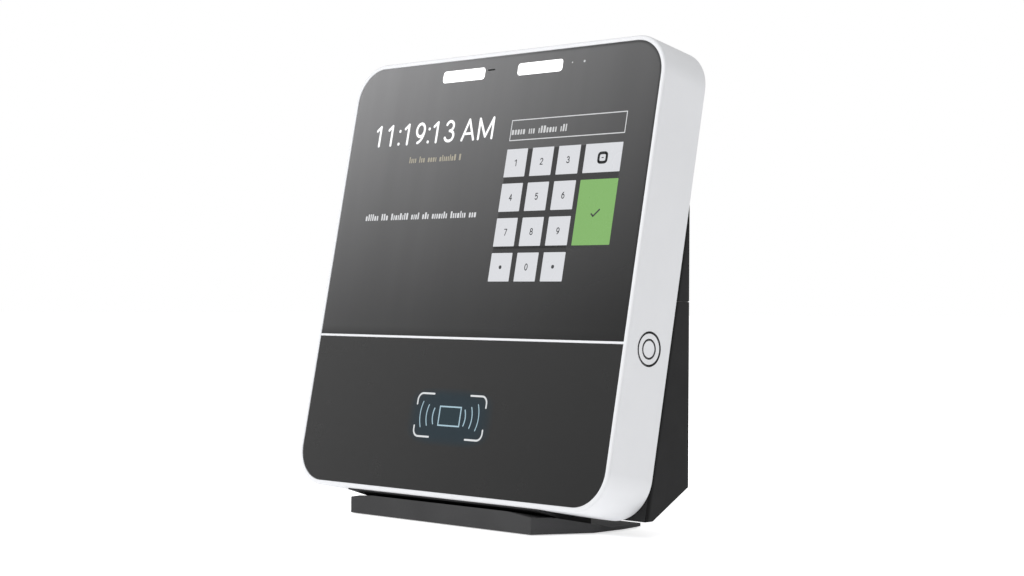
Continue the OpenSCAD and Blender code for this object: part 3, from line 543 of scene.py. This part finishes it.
def refined(node, name, radius, segments=2, place=FLAT):
    """A piece with a CAD node's own shape, its flat faces joined up and its sharp edges rounded."""
    mesh = bmesh.new()
    mesh.from_mesh(nodes[node].data)
    bmesh.ops.remove_doubles(mesh, verts=mesh.verts, dist=1e-6)
    mesh.transform(place.inverted())
    bmesh.ops.dissolve_limit(mesh, angle_limit=math.radians(0.5), verts=mesh.verts, edges=mesh.edges)
    soften(mesh, radius, segments)
    slot = slot_of_node[node]
    return piece_from(mesh, name, finishes[slot], body_of_node[node], place, [node])


def rounded_outline(half_w, low, high, radius, steps=20):
    """Points of a rounded rectangle, X across and Z up."""
    points = []
    corners = ((1, high, 0), (-1, high, 90), (-1, low, 180), (1, low, 270))
    for side, level, start in corners:
        centre_z = level - radius if level == high else level + radius
        for k in range(steps + 1):
            turn = math.radians(start + 90 * k / steps)
            x = side * (half_w - radius) + radius * math.cos(turn)
            points.append((x, centre_z + radius * math.sin(turn)))
    return points


def loft(mesh, rings, closed_across=False):
    """Skins a list of rings of points; every ring has the same count."""
    made = [[mesh.verts.new(p) for p in ring] for ring in rings]
    pairs = list(zip(made, made[1:]))
    if closed_across:
        pairs.append((made[-1], made[0]))
    faces = []
    for a, b in pairs:
        for k in range(len(a)):
            m = (k + 1) % len(a)
            faces.append(mesh.faces.new((a[k], a[m], b[m], b[k])))
    if not closed_across:
        faces.append(mesh.faces.new(made[0]))
        faces.append(mesh.faces.new(made[-1]))
    return faces


def prism(mesh, outline, front, back):
    """A flat shape drawn in X and Z, given a depth."""
    return loft(mesh, [[(x, y, z) for x, z in outline] for y in (front, back)])


def box(mesh, low, high, radius=0.0):
    """A box with its edges rounded."""
    made = bmesh.ops.create_cube(mesh, size=1.0)
    low, high = Vector(low), Vector(high)
    for vert in made["verts"]:
        vert.co = low + Vector(((high - low)[i] * (vert.co[i] + 0.5) for i in range(3)))
    if radius:
        edges = list({e for v in made["verts"] for e in v.link_edges})
        bmesh.ops.bevel(mesh, geom=edges, offset=radius, segments=2, profile=0.5, affect="EDGES")


def turned(mesh, profile, axis, centre, steps, lobes=None):
    """A turned shape; its profile is pairs of distance along the axis and radius.

    Lobes says how a ring's radius changes round it.
    """
    rings = []
    for index, (along, radius) in enumerate(profile):
        ring = []
        for k in range(steps):
            turn = 2 * math.pi * k / steps
            r = radius * (lobes(index, turn) if lobes else 1.0)
            flat = [r * math.cos(turn), r * math.sin(turn)]
            flat.insert(axis, along)
            ring.append(Vector(centre) + Vector(flat))
        rings.append(ring)
    return loft(mesh, rings)


# ------------------------------------------------------------ white band

def make_band():
    """The head's white band with softly rounded rims; the dividing line, its rail and the bosses are added to
    its mesh after it is made.
    """
    seat_y = local_box("touch_glass")[1].y + 0.6 * MM
    rim = HEAD_W / 2 - local_box("touch_glass")[1].x - 0.15 * MM
    ledge, thick, wall = 6 * MM, 2 * MM, 2.5 * MM
    front, back, inner = 1.5 * MM, 0.9 * MM, 0.35 * MM

    def arc(centre_in, centre_y, radius, start, end, steps=6):
        turns = [math.radians(start + (end - start) * k / steps) for k in range(steps + 1)]
        return [(centre_in + radius * math.cos(t), centre_y + radius * math.sin(t)) for t in turns]

    section = arc(front, front, front, 180, 270)
    section += arc(rim - inner, inner, inner, 270, 360, 3)
    section += [(rim, seat_y), (rim + ledge, seat_y), (rim + ledge, seat_y + thick), (wall, seat_y + thick)]
    section += arc(wall - 0.3 * MM, HEAD_D - 0.3 * MM, 0.3 * MM, 0, 90, 3)
    section += arc(back, HEAD_D - back, back, 90, 180)
    rings = []
    for inset, depth in section:
        outline = rounded_outline(HEAD_W / 2 - inset, inset, HEAD_H - inset, BAND_CORNER - inset, 28)
        rings.append([(x, depth, z) for x, z in outline])
    mesh = bmesh.new()
    loft(mesh, rings, closed_across=True)
    return mesh, seat_y, rim


def cut(piece, cutter):
    """Cuts one mesh object by another and keeps the result as the piece's own mesh."""
    modifier = piece.modifiers.new("cut", "BOOLEAN")
    modifier.operation = "DIFFERENCE"
    modifier.solver = "EXACT"
    modifier.material_mode = "TRANSFER"
    modifier.object = cutter
    bpy.context.view_layer.update()
    shaped = bpy.data.meshes.new_from_object(piece.evaluated_get(bpy.context.evaluated_depsgraph_get()))
    piece.modifiers.clear()
    piece.data = shaped
    bpy.data.objects.remove(cutter)


def loose_object(mesh, name, finish):
    """A bare object for shaping another, not a piece of its own."""
    bmesh.ops.recalc_face_normals(mesh, faces=mesh.faces)
    data = bpy.data.meshes.new(name)
    mesh.to_mesh(data)
    mesh.free()
    for one in finish:
        data.materials.append(one)
    made = bpy.data.objects.new(name, data)
    bpy.context.scene.collection.objects.link(made)
    return made


button_low, button_high = local_box("finger_button")
BUTTON_Y = (button_low.y + button_high.y) / 2
BUTTON_V = (button_low.z + button_high.z) / 2
BUTTON_R = (button_high.z - button_low.z) / 2

band_mesh, SEAT_Y, RIM = make_band()
white = finishes["white_band"]
rough_band = loose_object(band_mesh, "band_blank", [white])
hole = bmesh.new()
HOLE_R = BUTTON_R + 0.35 * MM
CHAMFER = 0.5 * MM
side_x = HEAD_W / 2
turned(
    hole,
    [(side_x - 4 * MM, HOLE_R), (side_x - CHAMFER, HOLE_R), (side_x + 0.2 * MM, HOLE_R + CHAMFER + 0.2 * MM)],
    0,
    (0, BUTTON_Y, BUTTON_V),
    96,
)
# Painted shade: the hole's bore and chamfer take the cutter's near-black finish, for the shade in the groove
# round the button.
cut(rough_band, loose_object(hole, "button_hole", [groove_shade_and_cloth_black]))
band_mesh = bmesh.new()
band_mesh.from_mesh(rough_band.data)
bpy.data.objects.remove(rough_band)
split_v = (local_box("touch_glass")[0].z + local_box("reader_cover")[1].z) / 2
box(
    band_mesh,
    (-HEAD_W / 2 + RIM - 0.5 * MM, 0.2 * MM, split_v - 0.7 * MM),
    (HEAD_W / 2 - RIM + 0.5 * MM, SEAT_Y + MM, split_v + 0.7 * MM),
    0.15 * MM,
)
box(
    band_mesh,
    (-HEAD_W / 2 + RIM - 0.5 * MM, SEAT_Y, split_v - 6.5 * MM),
    (HEAD_W / 2 - RIM + 0.5 * MM, SEAT_Y + 2 * MM, split_v + 6.5 * MM),
    0.3 * MM,
)


def wall_at(height):
    """How far the band's outside reaches from the middle at a height."""
    short = max(0.0, BAND_CORNER - min(height, HEAD_H - height))
    return HEAD_W / 2 - BAND_CORNER + math.sqrt(BAND_CORNER * BAND_CORNER - short * short)


for low, high in islands("cover_screws"):
    centre = (low + high) / 2
    side = 1 if centre.x > 0 else -1
    web_low, web_high = centre.z - 1.2 * MM, centre.z + 1.2 * MM
    reach = min(wall_at(web_low), wall_at(web_high)) - MM
    boss = [(SEAT_Y, 4.3 * MM), (high.y - 5.5 * MM, 4.0 * MM), (high.y - 4.9 * MM, 3.6 * MM)]
    turned(band_mesh, boss, 1, (centre.x, 0, centre.z), 28)
    web = [(centre.x, web_low), (centre.x, web_high), (side * reach, web_high), (side * reach, web_low)]
    prism(band_mesh, web, SEAT_Y, high.y - 7 * MM)
piece_from(
    band_mesh, "white_band", [white, groove_shade_and_cloth_black], "terminal", HEAD, ["bezel_frame"], 30
)

# ------------------------------------------------------------ glass, lenses and covers

refined("touch_glass", "screen_glass", 0.22 * MM, 2, HEAD)
refined("reader_cover", "reader_cover_panel", 0.22 * MM, 2, HEAD)
refined("left_light_lens", "left_lens", 0.25 * MM, 3, HEAD)
refined("right_light_lens", "right_lens", 0.25 * MM, 3, HEAD)
refined("rear_cover", "rear_cover_shell", 0.4 * MM, 2, HEAD)
refined("stand_shell", "stand_lower_shell", 0.7 * MM, 3)
refined("stand_hood", "stand_upper_hood", 0.7 * MM, 3)
refined("cable_door", "door_panel", 0.5 * MM, 2)
refined("neck_block", "neck_wedge", 0.5 * MM, 2)
refined("foot_plate", "foot_base", 0.5 * MM, 3)
refined("front_pad", "front_rubber_pad", 0.35 * MM, 2)
refined("rear_pads", "rear_rubber_pads", 0.35 * MM, 2)
refined("lock_body", "lock_barrel", 0.35 * MM, 2)
refined("lock_plug", "lock_key_plug", 0.2 * MM, 2)


def make_seam_seal():
    """A thin foam strip in the seam between the stand's shell and hood, just inside its outer edge."""
    shell = local_box("stand_shell", FLAT)[1]
    hood_low, hood_high = local_box("stand_hood", FLAT)
    top = points_of("stand_shell")
    seam = shell.z
    front = top[top[:, 2] > seam - 0.01 * MM][:, 1].min() + 0.5 * MM
    side = hood_high.x - 0.5 * MM
    back = hood_high.y - 0.5 * MM
    inner = 2.2 * MM
    outline = [(side, front), (side, back), (-side, back), (-side, front)]
    outline += [(inner - side, front), (inner - side, back - inner)]
    outline += [(side - inner, back - inner), (side - inner, front)]
    mesh = bmesh.new()
    loft(mesh, [[(x, y, z) for x, y in outline] for z in (seam - 0.02 * MM, seam + 0.42 * MM)])
    piece_from(mesh, "stand_seam_seal", finishes["foam"], "terminal")


make_seam_seal()


def make_contacts():
    """The sprung contacts of the network socket, the tongue contacts of the data socket and the power pin."""
    mesh = bmesh.new()

    def strips(node, count, pitch, half_wide, depths, heights):
        low, high = local_box(node)
        for k in range(count):
            x = (low.x + high.x) / 2 + (k - (count - 1) / 2) * pitch * MM
            near = (x - half_wide * MM, low.y + depths[0] * MM, low.z + heights[0] * MM)
            box(mesh, near, (x + half_wide * MM, low.y + depths[1] * MM, low.z + heights[1] * MM))

    strips("ethernet_jack", 8, 1.02, 0.22, (2.6, 3.0), (1.5, 12))
    strips("usb_jack", 4, 2.4, 0.5, (2.95, 3.1), (1, 9))
    low, high = local_box("power_jack")
    pin = [(low.z + 0.9 * MM, 0.6 * MM), (low.z + 1.1 * MM, 1.03 * MM), (low.z + 9 * MM, 1.03 * MM)]
    turned(mesh, pin, 2, ((low.x + high.x) / 2, low.y + 6.3 * MM, 0), 24)
    piece_from(mesh, "socket_contacts", contact_gold, "terminal", HEAD)


make_contacts()


def make_sound_mesh():
    """Black acoustic cloth behind the microphone's slot in the glass."""
    low, high = local_box("microphone")
    middle = (low + high) / 2
    back = local_box("touch_glass")[1].y
    mesh = bmesh.new()
    box(
        mesh,
        (middle.x - 2.95 * MM, back - 0.5 * MM, middle.z - 0.46 * MM),
        (middle.x + 2.95 * MM, back - 0.2 * MM, middle.z + 0.46 * MM),
    )
    piece_from(mesh, "microphone_cloth", groove_shade_and_cloth_black, "terminal", HEAD)


make_sound_mesh()


# ------------------------------------------------------------ finger button

def make_button():
    """The round cap, dished round the sensor, on its stem."""
    face = button_high.x
    disc_low, disc_high = local_box("finger_sensor")
    disc_r = (disc_high.z - disc_low.z) / 2
    stem_r = 3 * MM
    lip = 0.45 * MM
    centre = (0, BUTTON_Y, BUTTON_V)
    cap = [
        (button_low.x, stem_r - 0.2 * MM),
        (button_low.x + 0.2 * MM, stem_r),
        (face - 2.2 * MM, stem_r),
        (face - 2.2 * MM, BUTTON_R - lip),
        (face - 2.0 * MM, BUTTON_R),
    ]
    outer = [(face - lip, BUTTON_R), (face - 0.02 * MM, BUTTON_R - lip)]
    top = [(face, BUTTON_R - 1.1 * MM), (face - 0.05 * MM, disc_r + 1.2 * MM)]
    top += [(face - 0.08 * MM, disc_r + 0.7 * MM)]
    well = [(face - 0.5 * MM, disc_r + 0.2 * MM), (face - 1.6 * MM, disc_r + 0.2 * MM)]
    mesh = bmesh.new()
    steps = 96
    made = turned(mesh, cap + outer + top + well, 0, centre, steps)
    well_ring = len(cap) + len(outer) + len(top)
    # Painted shade: the cap's outer chamfer and the rim and wall of its well get the near-black finish, for
    # the shade in the grooves.
    paint_bands(made, steps, [len(cap), well_ring - 1, well_ring])
    piece_from(
        mesh, "finger_button_cap", [white, groove_shade_and_cloth_black], "button", HEAD, ["finger_button"], 40
    )
    sensor = bmesh.new()
    dish = [(disc_low.x, disc_r - 0.1 * MM), (disc_high.x - 0.4 * MM, disc_r)]
    dish += [(disc_high.x - 0.02 * MM, disc_r - 0.45 * MM), (disc_high.x, disc_r - 0.8 * MM)]
    dish += [(disc_high.x - 0.1 * MM * (1 - (k / 6) ** 2), disc_r * 0.8 * k / 6) for k in range(6, 0, -1)]
    rings = turned(sensor, dish, 0, centre, 64)
    # Painted shade: the sensor's outer chamfer gets the near-black finish, for the shade in the groove round
    # it.
    paint_bands(rings, 64, [1])
    both = [finishes["sensor_face"], groove_shade_and_cloth_black]
    piece_from(sensor, "finger_sensor_disc", both, "button", HEAD, ["finger_sensor"], 50)


def paint_bands(faces, steps, bands):
    """Gives whole rings of a turned shape the second finish."""
    for band_index in bands:
        for face in faces[band_index * steps:(band_index + 1) * steps]:
            face.material_index = 1


make_button()


def make_spring():
    """The button's return spring: a coil with closed ends, made at one length; nothing here shortens it as
    the button goes in.
    """
    low, high = local_box("return_spring")
    wire = 0.3 * MM
    coil_r = (high.z - low.z) / 2 - wire
    closed, open_turns, steps = 2.1 * wire, 3, 24
    pitch = (high.x - low.x - 2 * wire - 2 * closed) / open_turns
    rings = []
    for i in range(steps * (open_turns + 2) + 1):
        turns = i / steps
        opened = min(open_turns, max(0, turns - 1))
        along = low.x + wire + (turns - opened) * closed + opened * pitch
        outward = Vector((0, math.cos(math.tau * turns), math.sin(math.tau * turns)))
        middle = Vector((along, BUTTON_Y, BUTTON_V)) + outward * coil_r
        around = [math.tau * k / 8 for k in range(8)]
        rings.append([middle + wire * (math.cos(a) * outward + Vector((math.sin(a), 0, 0))) for a in around])
    mesh = bmesh.new()
    loft(mesh, rings)
    slot = slot_of_node["return_spring"]
    body = body_of_node["return_spring"]
    spring = piece_from(mesh, "button_return_spring", finishes[slot], body, HEAD, ["return_spring"], 50)
    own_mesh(spring)


make_spring()


# ------------------------------------------------------------ screws

def cross_recess(first):
    """The outline of a cross-shaped driver recess, for the rings from that one on."""
    def lobes(index, turn):
        if index < first:
            return 1.0
        return 0.42 + 0.58 * abs(math.cos(2 * turn)) ** 5
    return lobes


def make_screws(node, name, axis, head_end, place):
    """Pan-head screws with a cross recess and a rolled thread, one for each solid of the CAD node."""
    mesh = bmesh.new()
    for low, high in islands(node, place):
        centre = (low + high) / 2
        across = [i for i in range(3) if i != axis]
        head_r = (high[across[0]] - low[across[0]]) / 2
        shank_r = min(1.23 * MM, head_r * 0.45) if head_r < 3.5 * MM else 1.63 * MM
        origin = Vector(centre)
        origin[axis] = 0
        top, tail = (high[axis], low[axis]) if head_end > 0 else (low[axis], high[axis])
        down = -1 if head_end > 0 else 1
        head = [(0.9, 1.98), (1.0, 1.7), (0.94, 0.75), (0.72, 0.18), (0.62, 0.0)]
        length = abs(top - tail)
        count = max(3, int((length - 2.4 * MM) / (0.5 * MM)))
        profile = [(tail, shank_r * 0.7)]
        for k in range(count):
            at = tail - down * (0.35 * MM + (length - 2.6 * MM) * k / count)
            profile.append((at, shank_r * (1.0 if k % 2 else 0.86)))
        profile += [(top + down * t * MM, head_r * r) for r, t in head]
        first = len(profile)
        profile += [(top + down * 0.02 * MM, head_r * 0.6), (top + down * 0.9 * MM, head_r * 0.5)]
        profile += [(top + down * 1.15 * MM, head_r * 0.16)]
        turned(mesh, profile, axis, origin, 32, cross_recess(first))
    piece_from(mesh, name, finishes["screw_steel"], body_of_node[node], place, [node], 35)


make_screws("cover_screws", "cover_screws_cross", 1, 1, HEAD)
make_screws("stand_screws", "stand_screws_cross", 1, 1, HEAD)
make_screws("board_screws", "board_screws_cross", 1, 1, HEAD)
make_screws("display_screws", "display_screws_cross", 1, 1, HEAD)
make_screws("guide_screws", "guide_screws_cross", 0, -1, HEAD)
make_screws("foot_screws", "foot_screws_cross", 2, -1, FLAT)


# ------------------------------------------------------------ screen content

GLASS_FRONT = local_box("touch_glass")[0].y
LAYER = 0.03 * MM
PANEL_LOW, PANEL_HIGH = local_box("display_panel")
SCREEN_X = (PANEL_LOW.x + PANEL_HIGH.x) / 2
SCREEN_V = (PANEL_LOW.z + PANEL_HIGH.z) / 2


def print_layer(mesh, name, finish):
    """A thin piece of lit screen content, lying on the glass."""
    return piece_from(mesh, name, finish, "terminal", HEAD, soft=False)


def plate(mesh, x0, x1, z0, z1, radius, depth=1):
    """A thin plate with rounded corners on the glass, in millimetres from the middle of the screen."""
    centre_x = SCREEN_X + (x0 + x1) / 2 * MM
    low, high = SCREEN_V + z0 * MM, SCREEN_V + z1 * MM
    outline = rounded_outline((x1 - x0) / 2 * MM, low, high, radius * MM, 5)
    outline = [(x + centre_x, z) for x, z in outline]
    prism(mesh, outline, GLASS_FRONT - depth * LAYER, GLASS_FRONT + 0.3 * MM)


def stroke(mesh, points, width, depth=1):
    """A line of even width with round ends, in millimetres from the middle of the screen."""
    half = width / 2
    steps = 8
    for (ax, az), (bx, bz) in zip(points, points[1:]):
        turn = math.atan2(bz - az, bx - ax)
        outline = []
        for k in range(steps + 1):
            a = turn + math.pi / 2 + math.pi * k / steps
            outline.append((ax + half * math.cos(a), az + half * math.sin(a)))
        for k in range(steps + 1):
            a = turn - math.pi / 2 + math.pi * k / steps
            outline.append((bx + half * math.cos(a), bz + half * math.sin(a)))
        outline = [(SCREEN_X + x * MM, SCREEN_V + z * MM) for x, z in outline]
        prism(mesh, outline, GLASS_FRONT - depth * LAYER, GLASS_FRONT + 0.3 * MM)


def frame_line(mesh, x0, x1, z0, z1, width, depth=1):
    """A thin rectangle of lines."""
    plate(mesh, x0, x1, z1 - width, z1, width * 0.3, depth)
    plate(mesh, x0, x1, z0, z0 + width, width * 0.3, depth)
    plate(mesh, x0, x0 + width, z0 + width * 0.9, z1 - width * 0.9, width * 0.3, depth)
    plate(mesh, x1 - width, x1, z0 + width * 0.9, z1 - width * 0.9, width * 0.3, depth)


def bow(x, z, across, up, start, end, steps=14):
    """Points along part of an ellipse, in a digit's own box from 0 to 1."""
    turns = [math.radians(start + (end - start) * k / steps) for k in range(steps + 1)]
    return [(x + across * math.cos(t), z + up * math.sin(t)) for t in turns]


DIGITS = {
    0: [bow(0.5, 0.5, 0.5, 0.5, 90, 450, 24)],
    1: [[(0.12, 0.8), (0.7, 1.0), (0.7, 0.0)]],
    2: [bow(0.48, 0.72, 0.46, 0.28, 165, -30) + [(0.02, 0.0), (1.0, 0.0)]],
    3: [bow(0.46, 0.76, 0.42, 0.24, 160, -90), bow(0.46, 0.26, 0.52, 0.26, 90, -160)],
    4: [[(0.72, 0.0), (0.72, 1.0), (0.0, 0.3), (1.0, 0.3)]],
    5: [[(0.9, 1.0), (0.16, 1.0), (0.08, 0.54)] + bow(0.46, 0.33, 0.5, 0.33, 130, -150)],
    6: [bow(0.5, 0.33, 0.48, 0.33, 90, 450, 24), bow(0.98, 0.33, 0.96, 0.67, 180, 105)],
    7: [[(0.0, 1.0), (1.0, 1.0), (0.36, 0.0)]],
    8: [bow(0.5, 0.76, 0.42, 0.24, 90, 450, 20), bow(0.5, 0.26, 0.5, 0.26, 90, 450, 20)],
    9: [bow(0.5, 0.67, 0.48, 0.33, 90, 450, 24), bow(0.02, 0.67, 0.96, 0.67, 0, -75)],
}


def digit(mesh, number, x0, x1, z0, z1, width, depth=1):
    """A plain numeral drawn with an even stroke, fitted to a box in millimetres."""
    half = width / 2
    for path in DIGITS[number]:
        points = [(x0 + half + (x1 - x0 - width) * x, z0 + half + (z1 - z0 - width) * z) for x, z in path]
        stroke(mesh, points, width, depth)


def dashes(mesh, x0, x1, z0, z1, seed):
    """A line of small upright dashes in groups, in place of any wording."""
    draw = random.Random(seed)
    height = z1 - z0
    x = x0
    while x < x1 - height * 0.3:
        for _ in range(draw.randint(3, 8)):
            wide = draw.uniform(0.18, 0.4) * height
            if x + wide > x1:
                break
            plate(mesh, x, x + wide, z0, z0 + height * draw.choice((0.72, 0.72, 1.0)), wide * 0.3)
            x += wide + height * 0.19
        x += height * 0.55


KEY_DEPTH, INK_DEPTH = 2, 4
KEY = 17.2
PITCH_X = 21.3
PITCH_Z = 21.2
PAD_X = 15.7
PAD_TOP = 30.0

keys = bmesh.new()
marks = bmesh.new()
for row in range(4):
    for column in range(3):
        left = PAD_X + column * PITCH_X
        top = PAD_TOP - row * PITCH_Z
        plate(keys, left, left + KEY, top - KEY, top, 0.35, KEY_DEPTH)
        place = row * 3 + column + 1
        number = {10: None, 11: 0, 12: None}.get(place, place)
        middle_x = left + KEY / 2
        middle_z = top - KEY / 2
        if number is None:
            plate(marks, middle_x - 1.1, middle_x + 1.1, middle_z - 1.1, middle_z + 1.1, 0.9, INK_DEPTH)
        else:
            edges = (middle_x - 1.25, middle_x + 1.25, middle_z - 2.1, middle_z + 2.1)
            digit(marks, number, *edges, 0.55, INK_DEPTH)
wide_left = PAD_X + 3 * PITCH_X - 0.1
wide_right = wide_left + 28.4
plate(keys, wide_left, wide_right, PAD_TOP - KEY, PAD_TOP, 0.35, KEY_DEPTH)
backing = bmesh.new()
third_low = PAD_TOP - 2 * PITCH_Z - KEY
fourth_low = PAD_TOP - 3 * PITCH_Z - KEY
plate(backing, PAD_X + 0.5, wide_right - 0.5, third_low - 1.5, PAD_TOP - 0.5, 0.35)
plate(backing, PAD_X + 0.5, PAD_X + 2 * PITCH_X + KEY - 0.5, fourth_low + 0.5, third_low, 0.35)
print_layer(backing, "screen_key_backing", key_backing)
print_layer(keys, "screen_keys", key_white)
middle_x = (wide_left + wide_right) / 2
middle_z = PAD_TOP - KEY / 2
ring = []
for k in range(25):
    x, z = math.cos(math.tau * k / 24), math.sin(math.tau * k / 24)
    across = middle_x + math.copysign(3.1 * abs(x) ** 0.5, x)
    ring.append((across, middle_z + math.copysign(2.8 * abs(z) ** 0.5, z)))
stroke(marks, ring, 1.7, INK_DEPTH)
plate(marks, middle_x - 0.8, middle_x + 0.8, middle_z - 0.3, middle_z + 0.3, 0.25, INK_DEPTH)
enter = bmesh.new()
enter_low = PAD_TOP - 3 * PITCH_Z + 21.0 - KEY
plate(enter, wide_left - 0.4, wide_right + 0.1, enter_low, PAD_TOP - PITCH_Z, 0.4, KEY_DEPTH)
print_layer(enter, "screen_enter_key", key_green)
tick_x = wide_left + 14.3
tick_z = PAD_TOP - 2 * PITCH_Z + 0.8
tick = [(tick_x - 2.8, tick_z), (tick_x - 1.2, tick_z - 1.3), (tick_x + 3.1, tick_z + 2.4)]
stroke(marks, tick, 0.95, INK_DEPTH)
print_layer(marks, "screen_key_marks", key_ink)

clock = bmesh.new()
DIGIT_LOW, DIGIT_HIGH = 37.3, 51.7
for number, middle in ((1, -103.4), (1, -92.3), (1, -76.8), (9, -64.3), (1, -50.1), (3, -37.4)):
    half = 3.6 if number == 1 else 4.6
    digit(clock, number, middle - half, middle + half, DIGIT_LOW, DIGIT_HIGH, 1.8)
for x in (-83.6, -56.4):
    for z in (38.6, 47.0):
        plate(clock, x - 0.95, x + 0.95, z - 0.95, z + 0.95, 0.7)
stroke(clock, [(-25.9, 38.1), (-20.8, 50.8), (-15.7, 38.1)], 1.7)
stroke(clock, [(-24.2, 42.0), (-17.4, 42.0)], 1.5)
stroke(clock, [(-11.5, 38.1), (-11.5, 50.8), (-5.6, 39.4), (0.2, 50.8), (0.2, 38.1)], 1.7)
print_layer(clock, "screen_clock_digits", text_white)

date = bmesh.new()
dashes(date, -70.6, -22.5, 25.4, 29.4, 4)
print_layer(date, "screen_date_dashes", text_beige)

message = bmesh.new()
dashes(message, -103.6, -1.4, -11.2, -6.9, 11)
print_layer(message, "screen_message_dashes", text_soft)
entry = bmesh.new()
dashes(entry, 17.2, 62.0, 38.9, 43.3, 7)
print_layer(entry, "screen_entry_dashes", text_grey)
windows = bmesh.new()
for x, radius in ((58.9, 0.45), (68.5, 0.75)):
    plate(windows, x - radius, x + radius, 80.8 - radius, 80.8 + radius, radius * 0.98)
print_layer(windows, "presence_sensor_windows", text_grey)

field = bmesh.new()
frame_line(field, 16, 108, 35.2, 48.2, 0.55)
print_layer(field, "screen_entry_field", line_white)


# ------------------------------------------------------------ card target

# From here on plate and stroke measure from the middle of the target, on the reader cover.
GLASS_FRONT = local_box("reader_cover")[0].y
SCREEN_V = READER_V
TARGET_X = 0.6
BRACKET_REACH = 29.3
brackets = bmesh.new()
for side in (-1, 1):
    for top, level, arm in ((1, 13.7, 6.6), (-1, -12.4, 6.2)):
        corner = 4.2
        points = [(TARGET_X + side * 15.6, level)]
        for k in range(7):
            turn = math.pi / 2 * k / 6
            reach = BRACKET_REACH - corner * (1 - math.sin(turn))
            points.append((TARGET_X + side * reach, level - top * corner * (1 - math.cos(turn))))
        points.append((TARGET_X + side * BRACKET_REACH, level - top * arm))
        stroke(brackets, points, 1.1)
print_layer(brackets, "target_brackets", target_white)

CARD = (-8.8, 10.0, -5.4, 6.8)
card = bmesh.new()
plate(card, *CARD, 0.6)
print_layer(card, "target_card_fill", target_teal)
waves = bmesh.new()
frame_line(waves, *CARD, 0.85, 2)
for step in range(3):
    reach = 4.7 + step * 1.5
    middle = 0.3 + step * 0.35
    for side in (-1, 1):
        x = side * (14.0 + step * 5.5)
        bend = 1.0 + 0.3 * step
        points = []
        for k in range(11):
            along = -1 + 2 * k / 10
            points.append((x - side * bend * along * along, middle + reach * along))
        stroke(waves, points, 0.8 - 0.08 * step)
print_layer(waves, "target_waves", target_blue)


# ------------------------------------------------------------ camera, light and floor

CAMERA_AT = (0.8272, -0.82434, 0.1353)
CAMERA_LENS = 67.75    # millimetres, on a sensor 36 mm wide
LOOK_AT = (0, 0, 0.14)
WORLD_LIGHT = 0.58     # how much the white world lights, against showing as 1


def camera():
    """A long lens from the right of the front, level with the middle of the head."""
    heading = math.radians(44.5)
    pitch = math.radians(-0.206)
    roll = math.radians(-0.327)
    level_part = math.cos(pitch)
    ahead = Vector((-math.sin(heading) * level_part, math.cos(heading) * level_part, -math.sin(pitch)))
    level = Vector((math.cos(heading), math.sin(heading), 0))
    drop = ahead.cross(level)
    right = math.cos(roll) * level + math.sin(roll) * drop
    down = math.cos(roll) * drop - math.sin(roll) * level
    turn = Matrix((right, -down, -ahead)).transposed().to_4x4()
    data = bpy.data.cameras.new("camera")
    data.lens = CAMERA_LENS
    data.sensor_width = 36
    made = bpy.data.objects.new("camera", data)
    made.matrix_world = Matrix.Translation(CAMERA_AT) @ turn
    bpy.context.scene.collection.objects.link(made)
    bpy.context.scene.camera = made


def softbox(name, at, size, power):
    """A large soft light that the surfaces don't mirror, aimed at the middle of the head."""
    data = bpy.data.lights.new(name, "AREA")
    data.shape = "RECTANGLE"
    data.size, data.size_y = size
    data.energy = power
    made = bpy.data.objects.new(name, data)
    made.visible_glossy = False
    made.location = at
    made.rotation_mode = "QUATERNION"
    made.rotation_quaternion = (Vector(LOOK_AT) - Vector(at)).to_track_quat("-Z", "Y")
    bpy.context.scene.collection.objects.link(made)


def studio():
    """An even white room: the world shows white, but lights less than it shows."""
    world = bpy.data.worlds.new("studio")
    world.use_nodes = True
    bpy.context.scene.world = world
    tree = world.node_tree
    background = tree.nodes["Background"]
    seen = tree.nodes.new("ShaderNodeLightPath")
    strength = tree.nodes.new("ShaderNodeMapRange")
    strength.inputs["To Min"].default_value = WORLD_LIGHT
    strength.inputs["To Max"].default_value = 1.0
    tree.links.new(seen.outputs["Is Camera Ray"], strength.inputs["Value"])
    tree.links.new(strength.outputs["Result"], background.inputs["Strength"])
    background.inputs["Color"].default_value = (1, 1, 1, 1)
    softbox("key_light", (-1.1, -1.5, 1.3), (1.2, 1.2), 28.5)
    softbox("side_light", (1.9, -0.3, 0.9), (1.0, 1.2), 2)
    softbox("back_light", (-0.2, 1.7, 1.4), (1.2, 1.0), 10)


def floor():
    """A plain white table top, which shows brighter than it lights."""
    mesh = bmesh.new()
    turns = [math.tau * k / 64 for k in range(64)]
    rings = []
    for radius in (0.02, 0.4, 1.0, 3.0, 12.0):
        rings.append([(radius * math.cos(turn), radius * math.sin(turn), 0) for turn in turns])
    made = [[mesh.verts.new(p) for p in ring] for ring in rings]
    mesh.faces.new(made[0])
    for a, b in zip(made, made[1:]):
        for k in range(64):
            mesh.faces.new((a[k], a[(k + 1) % 64], b[(k + 1) % 64], b[k]))
    bmesh.ops.recalc_face_normals(mesh, faces=mesh.faces)
    finish = Finish("table_white", roughness=0.9, specular_ior_level=0.1, emission_strength=0.6)
    cloud = finish.noise(3, 3.0)
    finish.feed("Base Color", finish.mix(cloud * 0.05, (0.93, 0.93, 0.94), (0.9, 0.9, 0.91)))
    seen = finish.node("ShaderNodeLightPath")
    finish.feed("Emission Color", finish.mix(seen, (0.74, 0.74, 0.74), (1.0, 1.0, 1.0)))
    piece = loose_object(mesh, "table_top", [finish.material])


camera()
studio()
floor()
bpy.context.scene.view_settings.view_transform = "Standard"
